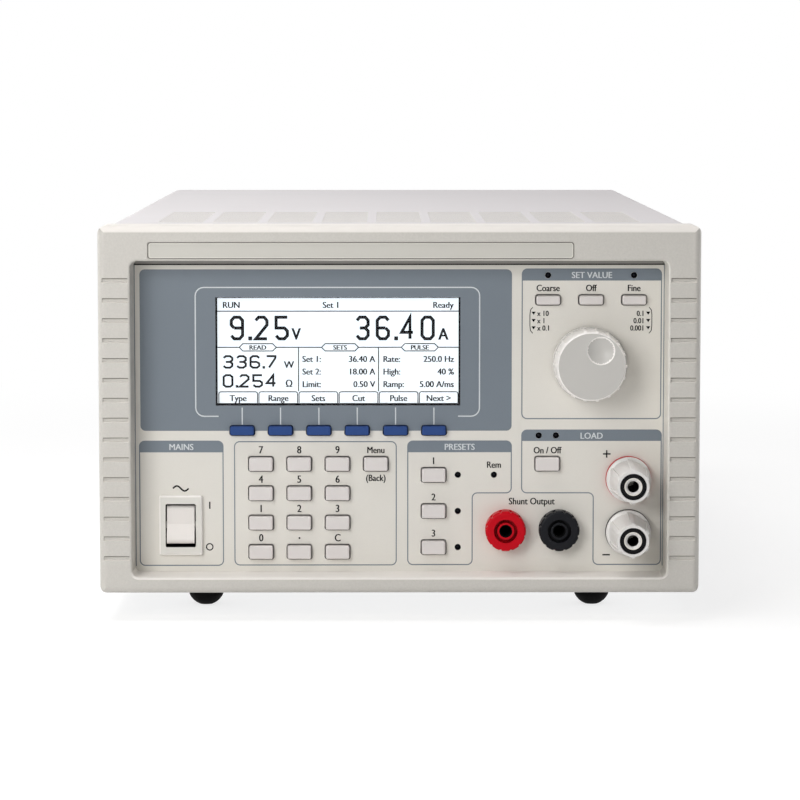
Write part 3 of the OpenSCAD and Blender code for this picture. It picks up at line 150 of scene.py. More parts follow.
# %% [markdown]
# What the lens sees of the floor is part paper, which takes the shadow, and part glow, which brings the
# lit paper up to white. Further out it fades to plain white, so that no horizon shows. For the rays that
# carry light, the floor is white paper and throws some light back at the load.

# %% Floor that keeps the shadow
FLOOR_HALF = 4.0
PAPER_GREY = 0.85
FLOOR_SHARE, LIT_PAPER = 0.35, 0.7
FADE_FROM, FADE_TO = 0.34, 0.75


def smooth_ramp(tree, value, low, high):
    """A mask that rises smoothly from 0 to 1 while a value goes from low to high."""
    made = tree.nodes.new("ShaderNodeMapRange")
    made.interpolation_type = "SMOOTHSTEP"
    made.inputs["From Min"].default_value = low
    made.inputs["From Max"].default_value = high
    tree.links.new(value, made.inputs["Value"])
    return made.outputs["Result"]


sweep = bpy.data.materials.new("white_sweep")
sweep.use_nodes = True
tree = sweep.node_tree
tree.nodes.remove(tree.nodes["Principled BSDF"])
paper = tree.nodes.new("ShaderNodeBsdfDiffuse")
paper.inputs["Color"].default_value = (PAPER_GREY, PAPER_GREY, PAPER_GREY, 1)
shadow_share = tree.nodes.new("ShaderNodeBsdfDiffuse")
shadow_share.inputs["Color"].default_value = (FLOOR_SHARE, FLOOR_SHARE, FLOOR_SHARE, 1)
glow = tree.nodes.new("ShaderNodeEmission")
glow.inputs["Strength"].default_value = 1.0 - LIT_PAPER * FLOOR_SHARE
both = tree.nodes.new("ShaderNodeAddShader")
tree.links.new(shadow_share.outputs[0], both.inputs[0])
tree.links.new(glow.outputs[0], both.inputs[1])
far_white = tree.nodes.new("ShaderNodeEmission")
where = tree.nodes.new("ShaderNodeTexCoord")
distance = tree.nodes.new("ShaderNodeVectorMath")
distance.operation = "LENGTH"
tree.links.new(where.outputs["Object"], distance.inputs[0])
fade = smooth_ramp(tree, distance.outputs["Value"], FADE_FROM, FADE_TO)
seen_floor = mix_shaders(tree, fade, both.outputs[0], far_white.outputs[0])
whole_floor = mix_shaders(tree, seen_directly(tree), paper.outputs[0], seen_floor)
tree.links.new(whole_floor, tree.nodes["Material Output"].inputs["Surface"])

floor_mesh = bpy.data.meshes.new("floor")
corners = [(-FLOOR_HALF, -FLOOR_HALF, 0), (FLOOR_HALF, -FLOOR_HALF, 0),
           (FLOOR_HALF, FLOOR_HALF, 0), (-FLOOR_HALF, FLOOR_HALF, 0)]
floor_mesh.from_pydata(corners, [], [(0, 1, 2, 3)])
floor_mesh.materials.append(sweep)
floor = bpy.data.objects.new("floor", floor_mesh)
scene.collection.objects.link(floor)
print("white sweep laid,", 2 * FLOOR_HALF, "m square")

# %% [markdown]
# In the photograph the left side is brighter than the right, the bezel's top edge shines, and shadows
# are short and soft. So one lamp stands close at the upper left, one hangs over the front of the cover,
# and a weak one fills in from the right. Three more light the back and the sides for views from there.
# Each row gives a lamp's place, its width, its power and its tint. Wide lamps make the soft edges of a
# studio tent.

# %% Lamps
AIM = place(0, 20, 65)
LAMPS = {
    "key_lamp": ((-0.34, -0.84, 0.34), 0.4, 3.0, (1.0, 0.99, 0.97)),
    "top_lamp": ((-0.25, -0.26, 0.95), 0.5, 4.5, (1.0, 0.985, 0.98)),
    "fill_lamp": ((0.9, -1.6, 0.35), 1.0, 1.2, (1.0, 0.995, 0.985)),
    "rear_lamp": ((-0.5, 1.7, 0.9), 1.0, 7.5, (1.0, 1.0, 1.0)),
    "left_lamp": ((-1.5, 0.55, 0.25), 0.9, 9.0, (1.0, 1.0, 1.0)),
    "right_lamp": ((1.5, 0.55, 0.25), 0.9, 9.0, (1.0, 1.0, 1.0)),
}
for name, (spot, size, watts, tint) in LAMPS.items():
    data = bpy.data.lights.new(name, "AREA")
    data.shape = "SQUARE"
    data.size = size
    data.energy = watts
    data.color = tint
    lamp = bpy.data.objects.new(name, data)
    lamp.location = spot
    lamp.rotation_euler = (AIM - Vector(spot)).to_track_quat("-Z", "Y").to_euler()
    lamp.visible_camera = False
    scene.collection.objects.link(lamp)
print("lamps:", ", ".join(LAMPS))

# %% [markdown]
# ## Surface effects
# Three effects come back on many pieces, so each is a node group with its own knobs. The first is the
# fine grain of moulded and painted skins: specks of lighter and darker colour, matching pits for the
# bump, and broad patches where handling has changed the gloss. It reads object coordinates, which
# here are real metres, so a grain of 0.4 mm stays 0.4 mm on every piece.

# %% Node group: moulded grain
FLOAT, COLOUR, VECTOR = "NodeSocketFloat", "NodeSocketColor", "NodeSocketVector"
PATCHES_PER_M, MOTTLE = 28.0, 0.05


def new_group(name, inputs, outputs):
    """An empty shader node group, the sockets it is given and the sockets it gives."""
    group = bpy.data.node_groups.new(name, "ShaderNodeTree")
    for socket, kind, value in inputs:
        made = group.interface.new_socket(socket, in_out="INPUT", socket_type=kind)
        made.default_value = value
    for socket, kind in outputs:
        group.interface.new_socket(socket, in_out="OUTPUT", socket_type=kind)
    given = group.nodes.new("NodeGroupInput").outputs
    gives = group.nodes.new("NodeGroupOutput").inputs
    return group, given, gives


def feed(group, slot, value):
    """Join a socket to an input, or set the input to a plain number."""
    if isinstance(value, bpy.types.NodeSocket):
        group.links.new(value, slot)
    else:
        slot.default_value = value


def math_node(group, operation, first, second):
    """A Math node fed by sockets or plain numbers; gives its output socket."""
    made = group.nodes.new("ShaderNodeMath")
    made.operation = operation
    feed(group, made.inputs[0], first)
    feed(group, made.inputs[1], second)
    return made.outputs[0]


def noise_node(group, coordinates, scale, detail, rough=0.6):
    """A Noise texture on given coordinates; gives its Factor."""
    made = group.nodes.new("ShaderNodeTexNoise")
    values = {"Vector": coordinates, "Scale": scale, "Detail": detail, "Roughness": rough}
    for name, value in values.items():
        feed(group, made.inputs[name], value)
    return made.outputs["Fac"]


def mix_colours(group, blend, factor, first, second):
    """A Mix node for two colours; gives its colour output."""
    made = group.nodes.new("ShaderNodeMix")
    made.data_type = "RGBA"
    made.blend_type = blend
    feed(group, made.inputs["Factor"], factor)
    slots = [slot for slot in made.inputs if slot.type == "RGBA"]
    group.links.new(first, slots[0])
    group.links.new(second, slots[1])
    return next(slot for slot in made.outputs if slot.type == "RGBA")


def shade_colour(group, colour, factor):
    """Multiply a colour by a grey value."""
    grey = group.nodes.new("ShaderNodeCombineColor")
    for channel in ("Red", "Green", "Blue"):
        group.links.new(factor, grey.inputs[channel])
    return mix_colours(group, "MULTIPLY", 1.0, colour, grey.outputs[0])


def make_grain():
    """The grain group: colour, roughness and height of a skin."""
    group, given, gives = new_group(
        "moulded_grain",
        [("Colour", COLOUR, (0.8, 0.8, 0.8, 1)), ("Grain per m", FLOAT, 2500.0),
         ("Speck", FLOAT, 0.1), ("Gloss", FLOAT, 0.5),
         ("Patches", FLOAT, 0.1)],
        [("Colour", COLOUR), ("Roughness", FLOAT), ("Height", FLOAT)])
    where = group.nodes.new("ShaderNodeTexCoord").outputs["Object"]
    fine = noise_node(group, where, given["Grain per m"], 3.0)
    broad = noise_node(group, where, PATCHES_PER_M, 2.0)
    speck = math_node(group, "MULTIPLY", math_node(group, "SUBTRACT", fine, 0.5), given["Speck"])
    mottle = math_node(group, "MULTIPLY", math_node(group, "SUBTRACT", broad, 0.5), MOTTLE)
    factor = math_node(group, "ADD", math_node(group, "ADD", speck, 1.0), mottle)
    group.links.new(shade_colour(group, given["Colour"], factor), gives["Colour"])
    patch = math_node(group, "MULTIPLY", math_node(group, "SUBTRACT", broad, 0.5), given["Patches"])
    group.links.new(math_node(group, "ADD", given["Gloss"], patch), gives["Roughness"])
    group.links.new(fine, gives["Height"])
    return group


moulded_grain = make_grain()
print("group made:", moulded_grain.name)

# %% [markdown]
# Plated and rolled metal carries fine lines from rolling, turning or drawing. Noise that is stretched
# along one direction gives such lines; the stretch is an input, because a case is rolled along its
# length and a stud is drawn along its axis.

# %% Node group: drawn metal
CLOUDS_PER_M = 90.0
POLISH, LINE_DULLS = 1.05, 0.16


def make_metal_lines():
    """The metal group: colour, roughness and height of drawn lines."""
    group, given, gives = new_group(
        "drawn_metal",
        [("Colour", COLOUR, (0.7, 0.7, 0.7, 1)), ("Stretch", VECTOR, (1500, 60, 1500)),
         ("Gloss", FLOAT, 0.3), ("Tarnish", FLOAT, 0.15)],
        [("Colour", COLOUR), ("Roughness", FLOAT), ("Height", FLOAT)])
    where = group.nodes.new("ShaderNodeTexCoord").outputs["Object"]
    stretch = group.nodes.new("ShaderNodeVectorMath")
    stretch.operation = "MULTIPLY"
    group.links.new(where, stretch.inputs[0])
    group.links.new(given["Stretch"], stretch.inputs[1])
    lines = noise_node(group, stretch.outputs[0], 1.0, 2.0)
    cloud = noise_node(group, where, CLOUDS_PER_M, 4.0)
    dull = math_node(group, "MULTIPLY", cloud, given["Tarnish"])
    factor = math_node(group, "SUBTRACT", POLISH, dull)
    group.links.new(shade_colour(group, given["Colour"], factor), gives["Colour"])
    dulled = math_node(group, "MULTIPLY", lines, LINE_DULLS)
    rough = math_node(group, "ADD", given["Gloss"], dulled)
    group.links.new(rough, gives["Roughness"])
    group.links.new(lines, gives["Height"])
    return group


drawn_metal = make_metal_lines()
print("group made:", drawn_metal.name)

# %% [markdown]
# On most parts light dust settles on what faces up. On the bezel and the switch frame the same group paints
# a highlight instead: what faces up is made paler, as if lit from above. The normal's upward share gives
# the mask, which is full from a slope of about 16 degrees, and a noise breaks it up as much as Patchy says.
# The group takes a finished colour and gives it back paler and duller, towards a colour of its own.

# %% Node group: dust and painted highlight
SLOPE_FROM, SLOPE_TO = 0.03, 0.28
DUST_AND_SHEEN_PER_M = 45.0


def make_dust_and_sheen():
    """The dust and painted highlight group: a colour and a roughness, paler and duller where they face up.
    """
    group, given, gives = new_group(
        "dust_and_sheen",
        [("Colour", COLOUR, (0.5, 0.5, 0.5, 1)), ("Roughness", FLOAT, 0.5),
         ("Amount", FLOAT, 0.1), ("Patchy", FLOAT, 0.5),
         ("Pale", COLOUR, (0.62, 0.6, 0.56, 1))],
        [("Colour", COLOUR), ("Roughness", FLOAT)])
    geometry = group.nodes.new("ShaderNodeNewGeometry")
    split = group.nodes.new("ShaderNodeSeparateXYZ")
    group.links.new(geometry.outputs["Normal"], split.inputs[0])
    slope = smooth_ramp(group, split.outputs["Z"], SLOPE_FROM, SLOPE_TO)
    where = group.nodes.new("ShaderNodeTexCoord").outputs["Object"]
    cloud = math_node(group, "SUBTRACT", noise_node(group, where, DUST_AND_SHEEN_PER_M, 5.0, 0.7), 0.5)
    uneven = math_node(group, "ADD", math_node(group, "MULTIPLY", cloud, given["Patchy"]), 1.0)
    full = math_node(group, "MULTIPLY", uneven, given["Amount"])
    mask = math_node(group, "MULTIPLY", slope, full)
    paler = mix_colours(group, "MIX", mask, given["Colour"], given["Pale"])
    group.links.new(paler, gives["Colour"])
    group.links.new(math_node(group, "ADD", given["Roughness"], mask), gives["Roughness"])
    return group


dust_and_sheen = make_dust_and_sheen()
print("group made:", dust_and_sheen.name)

# %% [markdown]
# ## Finishes
# One table lists the finish of every real material: its colour, its gloss, and how strong its grain is.
# Colours are written as the usual 0 to 255 screen values and turned into the linear values that shaders
# work with. Each row gives colour, gloss, grain per metre, speck and bump; a last number is an amount of
# dust and painted highlight, which adds that group behind the grain. The row of a metal gives colour,
# gloss, stretch and tarnish.

# %% Finish recipes
SKIN_MM, LINE_MM = 0.05, 0.02
HANDLING = 0.12


def tone(red, green, blue):
    """A screen colour, 0 to 255, as a linear shader colour."""
    def linear(value):
        share = value / 255
        return share / 12.92 if share <= 0.04045 else ((share + 0.055) / 1.055) ** 2.4
    return (linear(red), linear(green), linear(blue), 1)


def finish(name, group, effect, bump, depth_mm, dust_and_sheen_amount=0.0, pale=None, patchy=1.5, **shader_values):
    """A Principled material whose colour, gloss and bump come from one effect group."""
    made = bpy.data.materials.new(name)
    made.use_nodes = True
    tree = made.node_tree
    shader = tree.nodes["Principled BSDF"]
    grain = tree.nodes.new("ShaderNodeGroup")
    grain.node_tree = group
    for socket, value in effect.items():
        grain.inputs[socket].default_value = value
    last = grain
    if dust_and_sheen_amount:
        last = tree.nodes.new("ShaderNodeGroup")
        last.node_tree = dust_and_sheen
        last.inputs["Amount"].default_value = dust_and_sheen_amount
        last.inputs["Patchy"].default_value = patchy
        if pale:
            last.inputs["Pale"].default_value = tone(*pale)
        for socket in ("Colour", "Roughness"):
            tree.links.new(grain.outputs[socket], last.inputs[socket])
    tree.links.new(last.outputs["Colour"], shader.inputs["Base Color"])
    tree.links.new(last.outputs["Roughness"], shader.inputs["Roughness"])
    if bump:
        relief = tree.nodes.new("ShaderNodeBump")
        relief.inputs["Strength"].default_value = bump
        relief.inputs["Distance"].default_value = depth_mm * MM
        tree.links.new(grain.outputs["Height"], relief.inputs["Height"])
        tree.links.new(relief.outputs["Normal"], shader.inputs["Normal"])
    for socket, value in shader_values.items():
        shader.inputs[socket.replace("_", " ")].default_value = value
    return made


def moulded(name, colour, gloss, grain=2500.0, speck=0.1, bump=0.25, dust_and_sheen_amount=0.0, **shader_values):
    """A plastic, paint, rubber or ink: coloured grain without metal."""
    effect = {"Colour": tone(*colour), "Grain per m": grain, "Speck": speck, "Gloss": gloss,
              "Patches": HANDLING}
    return finish(name, moulded_grain, effect, bump, SKIN_MM, dust_and_sheen_amount, **shader_values)


def metal(name, colour, gloss, stretch, tarnish=0.15, bump=0.1):
    """A bare or plated metal with drawn lines."""
    effect = {"Colour": tone(*colour), "Stretch": stretch, "Gloss": gloss, "Tarnish": tarnish}
    return finish(name, drawn_metal, effect, bump, LINE_MM, Metallic=1.0)


ALONG_Y = (1500, 60, 1500)
DULL = {"Specular_IOR_Level": 0.1}
# The bezel and the switch frame get a painted highlight: what faces up is made paler, as if lit from above.
PAINTED_TOP_HIGHLIGHT = {"pale": (244, 240, 235), "patchy": 0.2}
finishes = {
    "bezel": moulded("bezel_moulding", (204, 201, 195), 0.42, 1500, 0.2, 0.35, 0.9, **PAINTED_TOP_HIGHLIGHT),
    # Painted shade on the undersides of the grip grooves.
    "groove": moulded("bezel_groove_painted_shade", (146, 143, 137), 0.5, 1500, 0.2, 0.35),
    "panel": moulded("panel_film", (226, 223, 216), 0.55, 2600, 0.05, 0.12),
    "cover": moulded("cover_paint", (214, 210, 212), 0.6, 1900, 0.12, 0.4, 0.05),
    # Painted highlight on the walls of the cover's slots.
    "slot_painted_highlight": moulded("cover_slot_painted_highlight", (255, 252, 245), 0.6, 1900, 0.1, 0.2),
    "key": moulded("key_cap", (222, 217, 215), 0.42, 3500, 0.03, 0.06),
    "soft_key": moulded("soft_key_cap", (50, 77, 135), 0.45, 3500, 0.06, 0.08, **DULL),
    "knob": moulded("knob_moulding", (200, 198, 194), 0.4, 2800, 0.04, 0.1),
    # Painted highlight for the switch's bevel and the knob's rim.
    "painted_highlight_edge": moulded("painted_highlight_edge", (250, 247, 244), 0.4, 2800, 0.04, 0.1),
    "switch_frame": moulded("switch_frame", (224, 222, 216), 0.4, 3000, 0.03, 0.06, 0.6, **PAINTED_TOP_HIGHLIGHT),
    "rocker": moulded("switch_rocker", (234, 229, 225), 0.3, 3000, 0.03, 0.05),
    "post_white": moulded("post_cap_white", (230, 228, 226), 0.3, 2600, 0.03, 0.08),
    "red": moulded("signal_red", (196, 8, 28), 0.35, 2600, 0.06, 0.1, **DULL),
    "charcoal": moulded("charcoal_moulding", (26, 27, 31), 0.36, 2600, 0.1, 0.15, **DULL),
    "black": moulded("black_moulding", (13, 13, 15), 0.45, 2600, 0.12, 0.15, **DULL),
    "socket_dark": moulded("socket_inside", (7, 7, 8), 0.7, 2600, 0.2, 0.1, **DULL),
    "fan_black": moulded("fan_plastic", (26, 26, 28), 0.5, 2200, 0.12, 0.2, 0.15),
    "rubber": moulded("foot_rubber", (15, 15, 15), 0.75, 1800, 0.3, 0.5, 0.03, **DULL),
    "board": moulded("solder_resist", (24, 82, 48), 0.3, 900, 0.25, 0.15, 0.1),
    "epoxy": moulded("chip_epoxy", (30, 30, 31), 0.55, 3000, 0.15, 0.2),
    "winding": moulded("winding_tape", (196, 160, 70), 0.4, 700, 0.2, 0.3),
    "iron": moulded("varnished_core", (92, 78, 62), 0.45, 1200, 0.35, 0.4),
    "zinc": metal("zinc_plate", (196, 198, 200), 0.3, (900, 80, 900), 0.2),
    "nickel": metal("nickel_plate", (214, 210, 202), 0.16, ALONG_Y, 0.1),
    "brass": metal("brass_bar", (204, 168, 92), 0.26, (900, 900, 90), 0.25),
    "aluminium": metal("extruded_aluminium", (200, 203, 207), 0.34, ALONG_Y, 0.15),
}
print(len(finishes), "finishes mixed")

# %% [markdown]
# The window is the one see-through material. It is plain acrylic, so its colour and roughness sit on
# the shader's own sockets; a low refraction stands for its anti-glare coat, which keeps the screen's
# blacks dark. The unlit indicators are smoked lenses, so dark that nothing shows through them.

# %% Window and lenses
COATED_IOR, CLEAR_GLOSS = 1.2, 0.02
CLEAR_TINT = (0.97, 0.985, 0.99, 1)
window = bpy.data.materials.new("clear_acrylic")
window.use_nodes = True
glass = window.node_tree.nodes["Principled BSDF"]
glass.inputs["Base Color"].default_value = CLEAR_TINT
glass.inputs["Roughness"].default_value = CLEAR_GLOSS
glass.inputs["IOR"].default_value = COATED_IOR
glass.inputs["Transmission Weight"].default_value = 1.0
finishes["window"] = window
finishes["lens"] = moulded("smoked_lens", (8, 9, 16), 0.35, 2000, 0.2, 0.0, 0.0, **DULL)
print("clear window and smoked lenses ready")

# %% [markdown]
# ## Dressing the solids
# Each solid gets the finish of what it is made of. Faces are shaded smooth, and edges sharper than 30
# degrees stay crisp.

# %% Give every solid its finish
SOFT_KEYS = [f"soft_key_{i}" for i in range(1, 7)]
DIGITS = ["7", "8", "9", "4", "5", "6", "1", "2", "3", "0", "point", "clear"]
OTHER_KEYS = ["home_key", "adjust_level_key", "adjust_off_key", "adjust_pulse_key",
              "level_key_a", "level_key_b", "level_key_c", "input_key"]
dress = {name: "soft_key" for name in SOFT_KEYS}
dress.update({f"key_{digit}": "key" for digit in DIGITS})
dress.update({name: "key" for name in OTHER_KEYS})
dress.update({
    "front_bezel": "bezel", "front_panel": "panel", "lcd_window": "window", "lcd_module": "epoxy",
    "panel_board": "board", "key_switches": "black", "indicator_leds": "lens",
    "encoder_body": "zinc", "encoder_shaft": "nickel", "control_knob": "knob",
    "switch_housing": "switch_frame", "power_rocker": "rocker",
    "positive_cap": "post_white", "negative_cap": "post_white",
    "positive_liner": "black", "negative_liner": "black",
    "red_insulators": "red", "black_insulators": "charcoal", "terminal_contacts": "nickel",
    "chassis": "zinc", "top_cover": "cover", "rear_panel": "cover", "rubber_feet": "rubber",
    "heatsink": "aluminium", "power_transistors": "epoxy", "fan_frame": "fan_black",
    "fan_rotor": "fan_black", "mains_inlet": "black", "interface_card": "zinc",
    "rear_insulators": "black", "rear_terminals": "brass", "main_board": "board",
    "transformer": "iron", "fasteners": "zinc",
})
CRISP_ANGLE = math.radians(30)
for name, node in nodes.items():
    mesh = node.data
    mesh.materials.clear()
    mesh.materials.append(finishes[dress[name]])
    mesh.shade_smooth()
    mesh.set_sharp_from_angle(angle=CRISP_ANGLE)
print(len(nodes), "solids dressed")

# %% [markdown]
# Some solids show two materials. The board carries black parts, the transformer a wound coil, the
# inlet metal pins. One helper picks faces by where they lie or which way they look, and gives them
# another finish.

# %% Give parts of a solid another finish
def dress_faces(node, finish_name, test):
    """Give faces another finish; the test gets a face's middle in drawing millimetres and its normal."""
    mesh = nodes[node].data
    mesh.materials.append(finishes[finish_name])
    zero = place(0, 0, 0)
    picked = 0
    for face in mesh.polygons:
        if test((face.center - zero) / MM, face.normal):
            face.material_index = len(mesh.materials) - 1
            picked += 1
    print(f"{node}: {picked} faces in {finish_name}")


CARD_THICK, BOARD_THICK, CORE_HALF = 1.7, 1.62, 12.1
PIN_PLACES = ((-7, -2), (7, -2), (0, 2.4))
PIN_LONG, PIN_HALF_X, PIN_HALF_Z = 17.9, 1.1, 2.1
card_top = drawn_box("interface_card")[0].z + CARD_THICK
dress_faces("interface_card", "board", lambda p, n: p.z < card_top)
board_top = drawn_box("main_board")[0].z + BOARD_THICK
dress_faces("main_board", "black", lambda p, n: p.z > board_top)
core_low, core_high = drawn_box("transformer")
core_y = (core_low.y + core_high.y) / 2
dress_faces("transformer", "winding", lambda p, n: abs(p.y - core_y) > CORE_HALF)
inlet_x, inlet_z = centre("mains_inlet")
pins_y = drawn_box("mains_inlet")[1].y - PIN_LONG
dress_faces("mains_inlet", "nickel", lambda p, n: p.y > pins_y and any(
    abs(p.x - inlet_x - x) < PIN_HALF_X and abs(p.z - inlet_z - z) < PIN_HALF_Z for x, z in PIN_PLACES))

# %% [markdown]
# On the front, the walls of the panel's holes and the well of the rocker are painted black as painted
# shade. The undersides of the bezel's grip grooves are painted darker than the bezel, also painted shade.
# The bevel of the switch, the rim of the knob and the walls of the cover's slots are painted whiter than
# the faces beside them, a painted highlight where they catch light. The opening's right wall is painted as
# pale as the panel, a painted highlight. A normal's share tells walls and bevels from faces that look
# straight out.

# %% Wells, rims and grooves
WALL = 0.5
WELL_X, WELL_Z, WELL_EDGE = 5.5, 7.8, 0.3
FRAME_X, FRAME_Z, BEVEL = 6.2, 8.6, 0.95
switch_x, switch_z = centre("switch_housing")
well_y = drawn_box("switch_housing")[0].y + WELL_EDGE
dress_faces("switch_housing", "black", lambda p, n: p.y > well_y and abs(p.x - switch_x) < WELL_X
            and abs(p.z - switch_z) < WELL_Z)
dress_faces("switch_housing", "painted_highlight_edge", lambda p, n: p.y < panel_y and abs(n.y) < BEVEL
            and (abs(p.x - switch_x) > FRAME_X or abs(p.z - switch_z) > FRAME_Z))
OPENING_X, LIP_X, LIP_TURN = 92.0, 98.0, -0.35
dress_faces("front_bezel", "panel", lambda p, n: n.x < LIP_TURN and OPENING_X < p.x < LIP_X)
RAIL_X, GROOVE_DEPTH, GROOVES_FROM, UNDERSIDE = 95.5, 6.0, 6.0, -0.2
dress_faces("front_bezel", "groove", lambda p, n: n.z < UNDERSIDE and n.y < WALL and abs(p.x) > RAIL_X
            and p.y < GROOVE_DEPTH and p.z > GROOVES_FROM)
RIM_TURN = 0.8
dress_faces("control_knob", "painted_highlight_edge", lambda p, n: abs(n.y) < RIM_TURN)
PANEL_THICK, COVER_THICK, SLOTS_X = 2.6, 1.6, 98
dress_faces("front_panel", "black", lambda p, n: abs(n.y) < WALL and p.y < panel_y + PANEL_THICK)
slot_z = drawn_box("top_cover")[1].z - COVER_THICK
dress_faces("top_cover", "slot_painted_highlight", lambda p, n: abs(n.z) < WALL and p.z > slot_z and abs(p.x) < SLOTS_X)

# %% [markdown]
# The sockets are metal, but only a ring of it shows. The cone that leads into a stud is as white as the
# stud's cap, and the bores are too deep for light.

# %% Sockets
post_x, plus_z = centre("positive_cap")
minus_z = centre("negative_cap")[1]
contact_y = drawn_box("terminal_contacts")[0].y
POSTS = ((post_x, plus_z), (post_x, minus_z))
MONITORS = ((37.8, 21.1), (56.85, 21.1))
BORE_R, LEAD_R, TUBE_R = 2.1, 2.8, 2.35
CONE_TURN = -0.9


def near(point, axes, radius):
    """Whether a point lies within a radius of one of the axes of a row of sockets."""
    return any(math.hypot(point.x - x, point.z - z) < radius for x, z in axes)


dress_faces("terminal_contacts", "post_white",
            lambda p, n: CONE_TURN < n.y < -WALL and near(p, POSTS, LEAD_R))
dress_faces("terminal_contacts", "socket_dark", lambda p, n: abs(n.y) < WALL and near(p, POSTS, BORE_R)
            or near(p, MONITORS, TUBE_R))

# %% [markdown]
# ## Ink on the panel
# The control panel is screen printed: slate areas and outlines, dark legends and pale legends. Each
# ink is a film a few hundredths of a millimetre thick, so it is made as real flat shapes that lie on
# the panel's face, not as a picture. Flat curves that Blender fills are the easy way: loops inside a
# loop become holes by themselves, which keeps the ink off the keys, lights and window.

# %% Helpers for flat shapes
SHARPEST = 0.3


def rounded(points, radii, steps=5):
    """A closed outline with its corners rounded; one radius for all or one for each corner."""
    count = len(points)
    if not isinstance(radii, (list, tuple)):
        radii = [radii] * count
    loop = []
    for i, corner in enumerate(points):
        here = Vector(corner)
        before = (Vector(points[i - 1]) - here).normalized()
        after = (Vector(points[(i + 1) % count]) - here).normalized()
        if radii[i] <= 0:
            loop.append(here)
            continue
        half = before.angle(after) / 2
        reach = radii[i] / math.tan(half)
        middle = here + (before + after).normalized() * (radii[i] / math.sin(half))
        first = here + before * reach - middle
        turn = (here + after * reach - middle).angle_signed(first)
        for step in range(steps + 1):
            loop.append(middle + Matrix.Rotation(turn * step / steps, 2) @ first)
    return loop


def rectangle(x0, x1, z0, z1, radius=0.0):
    """A rectangle on the front view, with rounded corners if a radius is given."""
    return rounded([(x0, z0), (x1, z0), (x1, z1), (x0, z1)], radius)


def disc(x, z, radius, steps=28):
    """A round outline."""
    turns = [2 * math.pi * i / steps for i in range(steps)]
    return [(x + radius * math.cos(turn), z + radius * math.sin(turn)) for turn in turns]


def stroke(points, width, closed=False):
    """The outline of a line of given width along points, as one loop, or two when it is closed."""
    path = [Vector(p) for p in points]
    count = len(path)
    sides = ([], [])
    for i, here in enumerate(path):
        back = here - path[i - 1] if closed or i > 0 else path[1] - here
        ahead = path[(i + 1) % count] - here if closed or i < count - 1 else here - path[i - 1]
        back, ahead = back.normalized(), ahead.normalized()
        normal = Vector((-back.y - ahead.y, back.x + ahead.x)).normalized()
        reach = width / 2 / max(SHARPEST, normal.dot(Vector((-back.y, back.x))))
        sides[0].append(here + normal * reach)
        sides[1].append(here - normal * reach)
    return list(sides) if closed else [sides[0] + sides[1][::-1]]


print("flat shape helpers ready")

# %% [markdown]
# Two helpers lay ink: one fills outlines, the other sets words in Blender's own font. Both go through
# one function that turns the filled curve into mesh, stands it up to face the front, and collects it
# under the name of its ink. A legend with weight is struck twice, side by side, and the second strike
# lies a hair in front of the first.

# %% Helpers that lay ink
inks = {}
AREA, LINE, LEGEND = 0.03, 0.045, 0.06
STRIKE_STEP = 0.008
CAPITAL_SHARE = 0.729
FACING = Matrix.Rotation(math.radians(90), 4, "X")


def lay(ink, curve, places_x, y, z, narrow=1.0):
    """Fill a flat curve, stand it up facing the front, and add it to an ink's mesh at each x."""
    holder = bpy.data.objects.new("holder", curve)
    scene.collection.objects.link(holder)
    bpy.context.view_layer.update()
    filled = bpy.data.meshes.new_from_object(holder.evaluated_get(bpy.context.evaluated_depsgraph_get()))
    filled.transform(FACING @ Matrix.Diagonal((narrow * MM, MM, MM, 1)))
    spot = Vector((0, 0, 0))
    for turn, x in enumerate(places_x):
        step = place(x, y - turn * STRIKE_STEP, z) - spot
        filled.transform(Matrix.Translation(step))
        spot += step
        inks.setdefault(ink, bmesh.new()).from_mesh(filled)
    bpy.data.objects.remove(holder)
    bpy.data.curves.remove(curve)
    bpy.data.meshes.remove(filled)


def flat(ink, loops, film, y=panel_y):
    """Lay closed outlines as a film in front of depth y."""
    curve = bpy.data.curves.new("flat", "CURVE")
    curve.dimensions = "2D"
    curve.fill_mode = "BOTH"
    curve.extrude = film / 2
    for loop in loops:
        spline = curve.splines.new("POLY")
        spline.points.add(len(loop) - 1)
        for point, (x, z) in zip(spline.points, loop):
            point.co = (x, z, 0, 1)
        spline.use_cyclic_u = True
    lay(ink, curve, [0], y - film / 2, 0)


def letters(ink, text, x, z, tall, film=LEGEND, y=panel_y, align="CENTER", weight=0.0, narrow=0.86):
    """Lay a short legend; tall is the height of its capitals."""
    curve = bpy.data.curves.new("letters", "FONT")
    curve.body = text
    curve.align_x = align
    curve.size = tall / CAPITAL_SHARE
    curve.extrude = film / 2
    curve.resolution_u = 3
    lay(ink, curve, [x - weight, x + weight] if weight else [x], y - film / 2, z - tall / 2, narrow)


print("ink films:", AREA, LINE, LEGEND, "mm")

# %% [markdown]
# The display sits in a large slate area. Its lower edge runs through the middle of the soft keys, so
# the outline steps round each key's opening, and the window is a hole in it.

# %% Slate area round the display
KEY_HOLE = 4.5
SOFT_HOLE = 1.9
soft_places = [centre(name) for name in SOFT_KEYS]
display_x, display_z = centre("lcd_module")
WINDOW_W, WINDOW_H = 87.0, 38.6
window_x0, window_x1 = display_x - WINDOW_W / 2, display_x + WINDOW_W / 2
window_z0, window_z1 = display_z - WINDOW_H / 2, display_z + WINDOW_H / 2
SLATE_X0, SLATE_X1, SLATE_Z0, SLATE_Z1 = -92.1, 39.95, 56.5, 114.0
CORNER, HOLE_CORNER = 1.8, 0.95


def window_area(grow):
    """The window's outline, grown by a margin on every side."""
    return rectangle(window_x0 - grow, window_x1 + grow, window_z0 - grow, window_z1 + grow)


